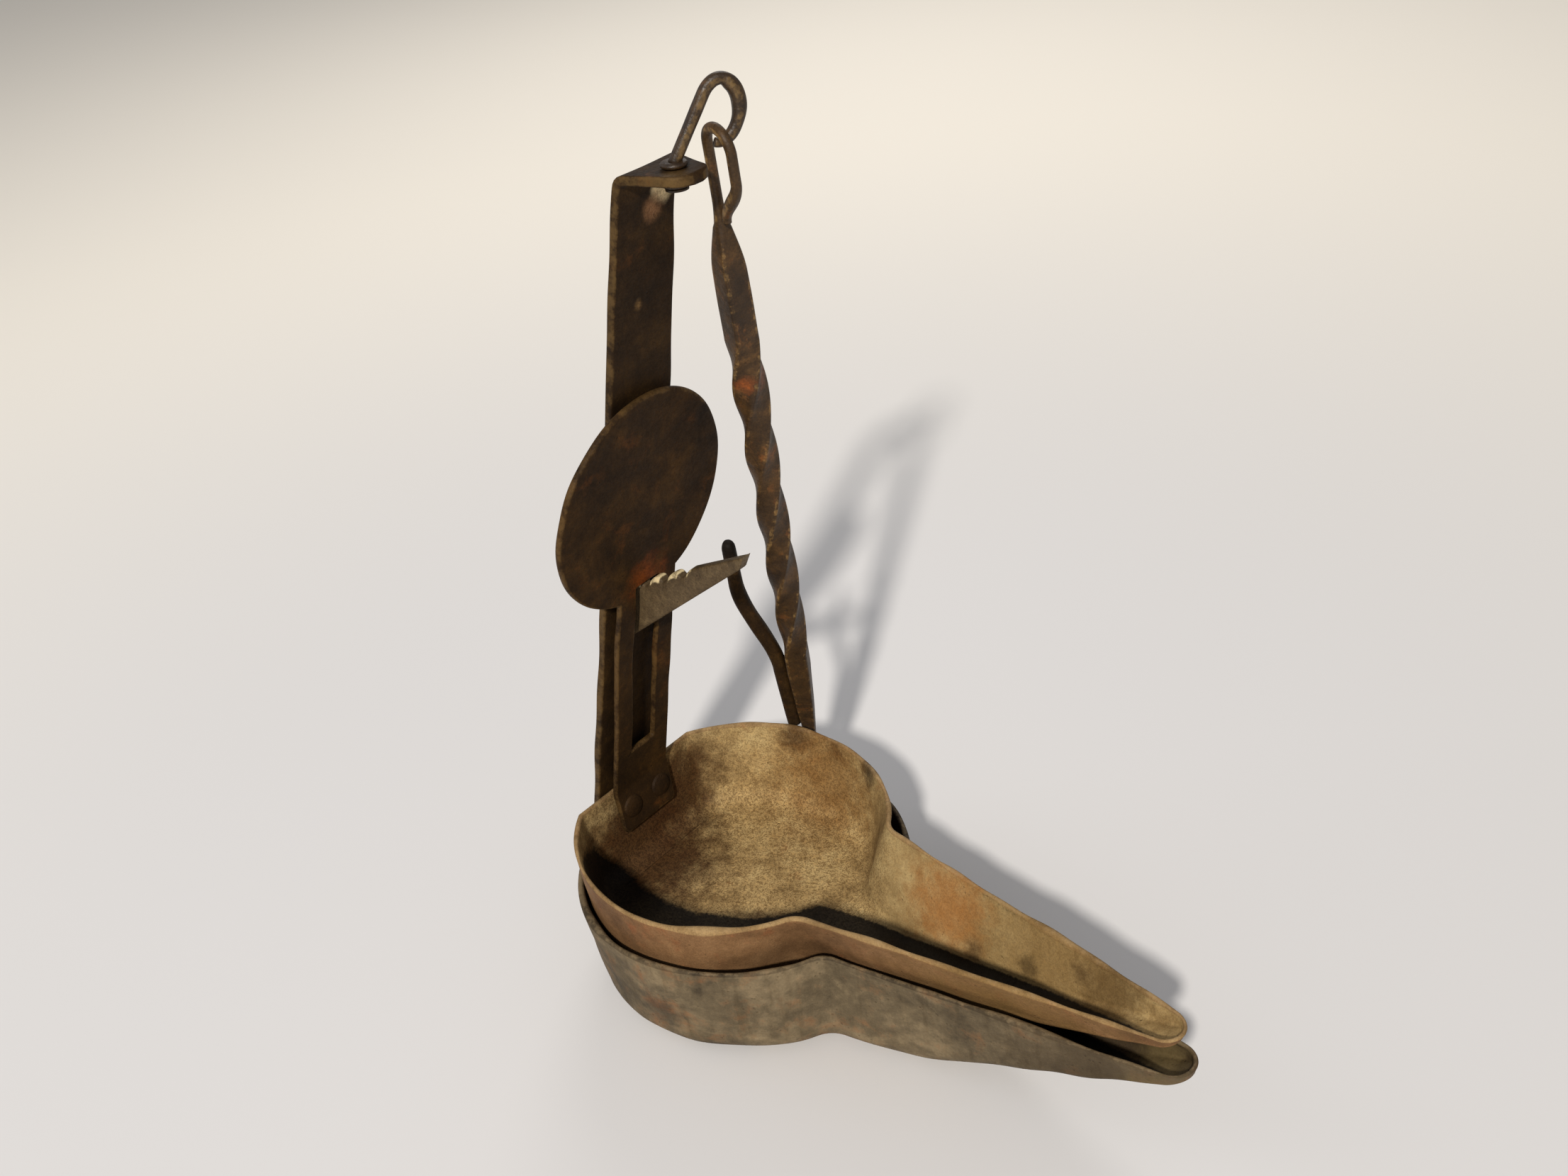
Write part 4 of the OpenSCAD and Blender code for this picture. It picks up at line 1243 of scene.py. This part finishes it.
@dataclass(frozen=True)
class Hanger(Part):
    """The hanger: an eye bent from the thin end of a square rod, its twist and spike, and a side prong."""

    pivot: tuple[float, float, float] = (15.6606, 8.30144, 221.34)
    lean: float = 13.7525
    lean_turn: float = 124.0
    eye_turn: float = -50.0
    eye_wire: float = 2.4
    eye_half: float = 4.4
    eye_len: float = 22.0
    link_rise: float = 3.0064
    link_gap: float = 0.35
    swell: float = 18.0
    plain: float = 12.0
    twist: float = 104.0
    quarters: int = 6
    split: float = 8.0
    weld: float = 22.0
    spike: float = 25.0
    rod_w: float = 6.2
    prong: float = 49.0
    spread: float = 7.6
    hook_wire: float = 4.0
    seat: float = 0.05
    swell_early: float = 7.0
    square_early: float = 4.0
    eye_share: float = 0.95
    sides: int = 56
    rod_ripple: Ripple = Ripple(0.035, 16, 51)
    prong_ripple: Ripple = Ripple(0.03, 9, 61)

    @property
    def side(self) -> Array:
        """Unit vector across the eye, in the hanger's own frame."""
        return np.append(heading(self.eye_turn), 0.0)

    @property
    def stations(self) -> tuple[float, float, float, float, float]:
        """Distances below the pivot: twist's start and end, hook's split and root, and the spike's point."""
        start = self.eye_len + self.swell + self.plain
        end = start + self.twist
        split = end + self.split
        return start, end, split, split + self.weld, split + self.weld + self.spike

    def half_at(self, down: Array) -> Array:
        """Half the rod's thickness: it swells below the eye and is drawn to a point below the split.

        Args:
            down: distances below the pivot.

        Returns:
            Half-thicknesses in millimetres.
        """
        _, _, split, _, point = self.stations
        share = smooth((down - self.eye_len + self.swell_early) / self.swell)
        grown = blend(self.eye_wire / 2, self.rod_w / 2, share)
        return blend(grown, self.eye_wire / 6, np.clip((down - split) / (point - split), 0, 1))

    def set_place(self, points: Array) -> Array:
        """Points of the hanger's own frame in the lamp's frame."""
        return turned(turned(points, 0, self.lean), 2, self.lean_turn - 90) + np.array(self.pivot)

    def build_rod(self) -> bpy.types.Object:
        """Rings along the eye and down the rod: round at the eye, then square and turned by the twist.

        Returns:
            The rod, with its corners marked as rubbed.
        """
        thin, half = self.eye_wire / 2, self.eye_half
        limb_z = -0.35 * self.eye_len
        free = (0.8 + 1) * thin + self.link_gap - half
        t = np.linspace(0, 1, 26)
        limb = np.stack([blend(free, half, smooth(t)), blend(-0.9 * self.eye_len, limb_z, t)], axis=1)
        arc = np.array([0, self.link_rise - half]) + half * heading(np.linspace(0, 180, 40))
        drop = np.linspace(arc[-1, 1], -self.eye_len, 22)[1:-1]
        eye = np.concatenate([limb[:-1], arc, np.stack([np.full_like(drop, -half), drop], axis=1)])
        start, end, _, _, point = self.stations
        down = np.concatenate([np.linspace(self.eye_len, start, 24)[:-1], np.linspace(start, end, 150)])
        down = np.concatenate([down, np.linspace(end, point - 0.2, 60)[1:]])
        path = np.concatenate([
            eye[:, :1] * self.side + eye[:, 1:] * UPRIGHT,
            -half * self.side - down[:, None] * UPRIGHT,
        ])
        thick = self.half_at(np.concatenate([np.zeros(len(eye) - len(drop)), -drop, down]))
        thick[: len(limb)] *= blend(0.85, 1, smooth(t)) * (1 + 0.3 * np.sin(np.pi * t) ** 2)
        thick *= 1 + self.rod_ripple.at(path)
        thick[: len(eye)] *= self.eye_share
        square = smooth((down - self.eye_len + self.square_early) / self.swell)
        grown = np.concatenate([np.zeros(len(eye)), square])
        ring = squarish(thick, thick, blend(2.2, 9.0, grown), self.sides)
        whole = 90 * self.quarters + self.eye_turn
        turn = whole * np.clip((down - start) / self.twist, 0, 1)
        turn = np.radians(np.concatenate([np.zeros(len(eye)), turn]))
        c, s = np.cos(turn)[:, None], np.sin(turn)[:, None]
        ring = np.stack([ring[..., 0] * c - ring[..., 1] * s, ring[..., 0] * s + ring[..., 1] * c], axis=-1)
        far = np.linalg.norm(ring, axis=-1) / thick[:, None]
        wear = smooth((far - 1.12) / 0.12) * 0.8
        wear = wear + 0.9 * flanks(self.sides) * (1 - smooth(grown * 2))[:, None]
        points = carry(path, np.array([-self.side[1], self.side[0], 0.0]), ring)
        sheet = Sheet(close_ends(self.set_place(points)), marks={"wear": pad_ends(wear)})
        return build("hanger_twisted", [sheet], "wear")

    def build_hook(self) -> bpy.types.Object:
        """A round prong from its weld on the rod's side, curving off it and up to a blunt end.

        Returns:
            The prong.
        """
        _, _, split, root, _ = self.stations
        r0 = self.hook_wire / 2
        down = np.linspace(root, split - self.prong, 130)
        off = self.spread * smooth((split - down) / (0.7 * self.prong))
        x = -self.half_at(down) - self.seat - r0 - off
        path = np.stack([x, 0 * x, -down], axis=1) - self.eye_half * self.side
        slim = blend(1, 0.88, smooth((split - down) / self.prong * 2 - 1))
        r = r0 * slim * (1 + self.prong_ripple.at(path))
        last = np.clip((np.arange(len(r)) - len(r) + 5) / 4, 0, 1)
        r *= np.sqrt(np.maximum(1 - (0.8 * last) ** 2, 0.05))
        points = carry(path, SIDEWAYS, squarish(r, r, np.full(len(r), 2.4), 28))
        wear = np.broadcast_to(0.15 * (down > split)[:, None], points.shape[:2])
        sheet = Sheet(close_ends(self.set_place(points)), marks={"wear": pad_ends(wear)})
        return build("hanger_prong", [sheet], "wear")


# Finishes

LOWER_OUT = Palette(
    tone(54, 46, 34), tone(100, 87, 66), tone(144, 126, 97), tone(126, 82, 48), tone(170, 150, 116), 0.26
)
UPPER_OUT = Palette(
    tone(82, 58, 36), tone(118, 87, 57), tone(140, 107, 73), tone(120, 70, 40), tone(166, 136, 100), 0.24
)
PAN_IN = Palette(
    tone(108, 84, 49), tone(162, 136, 91), tone(190, 166, 117), tone(142, 92, 50), tone(182, 154, 110), 0.16
)
SOOTY_IN = Palette(
    tone(22, 15, 9), tone(38, 27, 17), tone(60, 45, 28), tone(70, 42, 22), tone(120, 98, 68), 0.12
)
UMBER = Palette(
    tone(24, 14, 5), tone(44, 29, 11), tone(70, 49, 21), tone(80, 47, 17), tone(108, 84, 48), 0.16
)
HANDLE_UMBER = Palette(
    tone(26, 15, 5), tone(46, 30, 11), tone(72, 49, 20), tone(84, 49, 17), tone(100, 76, 42), 0.2
)
ARM_GREY = Palette(
    tone(54, 42, 27), tone(80, 65, 44), tone(104, 87, 61), tone(88, 60, 34), tone(214, 194, 150), 0.12
)
ROD_BROWN = Palette(
    tone(32, 20, 8), tone(58, 40, 19), tone(94, 66, 33), tone(116, 68, 27), tone(150, 118, 70), 0.22
)
LOOP_BROWN = Palette(
    tone(26, 17, 8), tone(50, 35, 18), tone(84, 62, 33), tone(90, 56, 25), tone(140, 112, 68), 0.16
)
# Colour of a painted highlight.
PAINTED_HIGHLIGHT = tone(220, 198, 156)
ORANGE = tone(130, 66, 23)
EMBER = tone(64, 40, 19)
ASH = tone(54, 47, 36)

UPPER_SKIN = Patina("iron_upper_pan", UPPER_OUT, PAN_IN, spots=(
    Spot((-31, -6, 24), 9, 30, EMBER, 0.95, 10),
    Spot((-34, 13, 31), 5, 22, EMBER, 0.9, 9),
    Spot((-30, -25, 29), 3, 15, tone(84, 56, 28), 0.7, 6),
    Spot((-12, 40, 40), 2, 7, ASH, 0.9, 5),
    Spot((1, 40, 40), 0.5, 5, ASH, 0.85, 4),
    Spot((15, 36, 40), 1, 6, ASH, 0.85, 5),
    Spot((12, -8, 17), 1, 9, tone(84, 56, 34), 0.7, 5),
    Spot((-2, 38, 31), 5, 26, tone(122, 86, 44), 0.7, 11),
    Spot((84, 6, 34), 8, 44, tone(126, 98, 56), 0.65, 14),
    Spot((58, 13, 32), 3, 18, tone(164, 106, 52), 0.6, 9),
    Spot((67, 6, 27), 0.8, 4.6, tone(74, 58, 36), 0.8, 3.5),
    Spot((84, 6, 31), 0.6, 4.0, tone(80, 62, 36), 0.75, 3.5),
    Spot((99, 8, 36), 0.8, 5.0, tone(76, 56, 32), 0.75, 3.5),
    Spot((108, 4, 38), 2, 13, tone(88, 66, 36), 0.7, 7),
), sandy=0.78, grain_mm=0.9, rub=0.3)
LOWER_SKIN = Patina("iron_lower_pan", LOWER_OUT, SOOTY_IN, spots=(
    Spot((-30, -30, 6), 5, 20, tone(66, 56, 42), 0.75, 7),
    Spot((4, -42, 12), 2, 10, tone(60, 52, 42), 0.6, 6),
    Spot((112, -8, 22), 6, 34, tone(74, 61, 43), 0.7, 9),
    Spot((121, 1, 27), 3, 11, tone(106, 90, 58), 0.8, 5),
), blotch_mm=20.0, streak=0.5)
BAR_SKIN = Patina("iron_bar", UMBER, spots=(
    # Painted highlight on the top bend: a pale patch, with a pinkish one below it.
    Spot((3.8, 4.6, 210.6), 2.8, 4.9, PAINTED_HIGHLIGHT, 0.95, 1.5),
    Spot((3.0, 2.0, 207.2), 2.6, 4.9, tone(130, 94, 64), 0.8, 1.5),
    Spot((-4.6, -1.7, 186.5), 0.3, 2.0, tone(128, 98, 60), 0.6, 1.6),
    Spot((14.0, -4.0, 216.5), 0.6, 5.0, tone(104, 80, 46), 0.5, 2.5),
), rub=0.45)
HANDLE_SKIN = Patina("iron_handle", HANDLE_UMBER, spots=(
    Spot((-18.8, -0.5, 112.6), 0.5, 9.0, ORANGE, 0.7, 7.0),
), rub=0.5, blotch_mm=12.0)
ARM_SKIN = Patina("iron_arm", ARM_GREY, blotch_mm=7.0, matt=0.6, gloss=0.25, rub=1.0)
ROD_SKIN = Patina("iron_hanger", ROD_BROWN, spots=(
    Spot((3.2, 21.7, 161.4), 2.0, 4.8, tone(150, 78, 26), 0.8, 2.0),
    Spot((15, 8, 214), 5, 24, tone(74, 54, 27), 0.35, 6.0),
), blotch_mm=9.0, cloud_mm=3.0, matt=0.55, gloss=0.35, rub=0.65)
LOOP_SKIN = Patina("iron_loop", LOOP_BROWN, blotch_mm=6.0, cloud_mm=2.4, matt=0.45, gloss=0.45, rub=0.45)
PRONG_SKIN = Patina("iron_prong", UMBER, spots=(
    Spot((-14.5, 25.2, 109.5), 2.0, 7.0, tone(16, 11, 7), 0.9, 1.5),
), blotch_mm=8.0, cloud_mm=3.0, rub=0.3)


# Studio


@dataclass(frozen=True)
class SoftLight:
    """A round area light that shines at the lamp's middle, or at another aim, in a cone of spread degrees."""

    name: str
    place: tuple[float, float, float]
    size: float
    watts: float
    colour: Colour
    aim: tuple[float, float, float] = (10.0, 0.0, 60.0)
    spread: float = 180.0

    def build(self) -> None:
        """Adds the light."""
        data = bpy.data.lights.new(self.name, "AREA")
        data.shape = "DISK"
        data.size = self.size * MM
        data.spread = math.radians(self.spread)
        data.energy = self.watts
        data.color = self.colour
        made = bpy.data.objects.new(self.name, data)
        spot = np.array(self.place, dtype=float)
        back = spot - np.array(self.aim)
        back /= np.linalg.norm(back)
        right = np.cross([0, 0, 1], back)
        right /= np.linalg.norm(right)
        made.matrix_world = columns(right, np.cross(back, right), back, spot)
        bpy.context.collection.objects.link(made)


def columns(x: Array, y: Array, z: Array, place: Array) -> Matrix:
    """A placing matrix from three axes and a place.

    Args:
        x: unit vector of the first axis.
        y: unit vector of the second axis.
        z: unit vector of the third axis.
        place: the origin, in millimetres.

    Returns:
        The matrix, in metres.
    """
    grid = np.eye(4)
    grid[:3, 0], grid[:3, 1], grid[:3, 2] = x, y, z
    grid[:3, 3] = np.asarray(place) * MM
    return Matrix(grid.tolist())


@dataclass(frozen=True)
class Studio:
    """Pale floor, soft light and the camera.

    The floor's tone goes from near to far between two distances from the lamp, a painted light that makes it
    lighter and warmer far away. The camera's focal length is a share of the picture's width.
    """

    eye: tuple[float, float, float] = (242.3, -232.7, 314.5)
    right: tuple[float, float, float] = (0.7705, 0.6289, -0.1042)
    above: tuple[float, float, float] = (-0.2599, 0.4591, 0.8495)
    ahead: tuple[float, float, float] = (-0.5821, 0.6274, -0.5171)
    focal_share: float = 2305.4 / 2212
    floor_size: float = 6000.0
    floor_z: float = -0.4
    floor_tone: Colour = tone(222, 220, 219)
    far_painted_light_tone: Colour = tone(250, 243, 230)
    painted_light_from: tuple[float, float] = (130.0, 800.0)
    sky_tone: Colour = (0.95, 0.96, 1.0)
    sky_strength: float = 0.31
    sensor: float = 36.0
    lights: tuple[SoftLight, ...] = (
        SoftLight("key", (1270, -2200, 1950), 190, 13.2, (1.0, 0.955, 0.89), spread=70.0),
        SoftLight("left_fill", (-760, -420, 640), 700, 1.0, (0.9, 0.94, 1.0)),
        SoftLight("back_wash", (-620, 900, 900), 600, 3.6, (1.0, 0.97, 0.93), (-260, 420, 0)),
    )

    def build(self) -> None:
        """Adds the floor, the lights, the sky and the camera."""
        size = self.floor_size
        u, v = np.meshgrid(np.linspace(-size, size, 9), np.linspace(-size, size, 9))
        points = np.stack([u, v, np.full_like(u, self.floor_z)], axis=-1)
        floor = build("floor", [Sheet(points, around=False)])
        g = Graph("paper")
        shaded = tuple(c * 0.97 for c in self.floor_tone)
        near = g.mix(self.floor_tone, shaded, g.noise(400.0, detail=2.0, rough=0.5))
        # Painted light: the floor lighter and warmer away from the lamp.
        shade = g.mix(near, self.far_painted_light_tone, g.away((0, 0, 0)).step(*self.painted_light_from))
        shader = g.node("ShaderNodeBsdfPrincipled", {}, {"Base Color": shade, "Roughness": 0.9})
        g.node("ShaderNodeOutputMaterial", {}, {"Surface": shader})
        floor.data.materials.append(g.material)
        for light in self.lights:
            light.build()
        world = bpy.data.worlds.new("sky")
        world.use_nodes = True
        sky = world.node_tree.nodes["Background"].inputs
        sky["Color"].default_value = (*self.sky_tone, 1.0)
        sky["Strength"].default_value = self.sky_strength
        bpy.context.scene.world = world
        bpy.context.scene.view_settings.view_transform = "Standard"
        data = bpy.data.cameras.new("camera")
        data.sensor_fit = "HORIZONTAL"
        data.sensor_width = self.sensor
        data.lens = self.sensor * self.focal_share
        data.clip_start = 0.01
        camera = bpy.data.objects.new("camera", data)
        camera.matrix_world = columns(self.right, self.above, -np.array(self.ahead), self.eye)
        bpy.context.collection.objects.link(camera)
        bpy.context.scene.camera = camera


def main() -> None:
    """Builds the studio and the lamp's pieces in order."""
    logging.basicConfig(level=logging.INFO, format="%(name)s %(message)s")
    Studio().build()
    lower = Pan(
        "lower_pan_beaten", bowl=44.3, back=41.4, root=17.3, reach=126.0, end=6.0, depth=31.0,
        neck_flare=0.03, tip_flare=0.23, place=(0.0, 31.0), seed=11,
    )
    upper = Pan(
        "upper_pan_beaten", bowl=42.0, back=36.1, root=19.12, reach=125.99784, end=5.5, depth=26.0,
        neck_flare=0.36, tip_flare=0.36, place=(-1.99784, 43.0), tilt=1.08, seed=15,
    )
    bar, swivel, hanger = Bar(), Swivel(), Hanger()
    ratchet, handle = Ratchet(bar), Handle(bar, upper)
    lower.dress(lower.build(), LOWER_SKIN, Body.FRAME, "pan_iron", "lower_pan")
    upper.dress(upper.build(), UPPER_SKIN, Body.OIL_PAN, "pan_iron", "upper_pan")
    bar.dress(bar.build(), BAR_SKIN, Body.FRAME, "bar_iron", "back_bar")
    ratchet.dress(ratchet.build(), ARM_SKIN, Body.FRAME, "arm_iron", "ratchet_arm")
    handle.dress(handle.build(), HANDLE_SKIN, Body.OIL_PAN, "bar_iron", "pan_handle")
    swivel.dress(swivel.build(), LOOP_SKIN, Body.SWIVEL, "hanger_iron", "swivel_eye")
    hanger.dress(hanger.build_rod(), ROD_SKIN, Body.HANGER, "hanger_iron", "hanger_rod")
    hanger.dress(hanger.build_hook(), PRONG_SKIN, Body.HANGER, "hanger_iron", "hanger_hook")
    bar.paint("bar_rivets", BAR_SKIN)
    handle.paint("handle_rivets", HANDLE_SKIN)
    swivel.paint("swivel_burr", LOOP_SKIN)


if __name__ == "__main__":
    main()
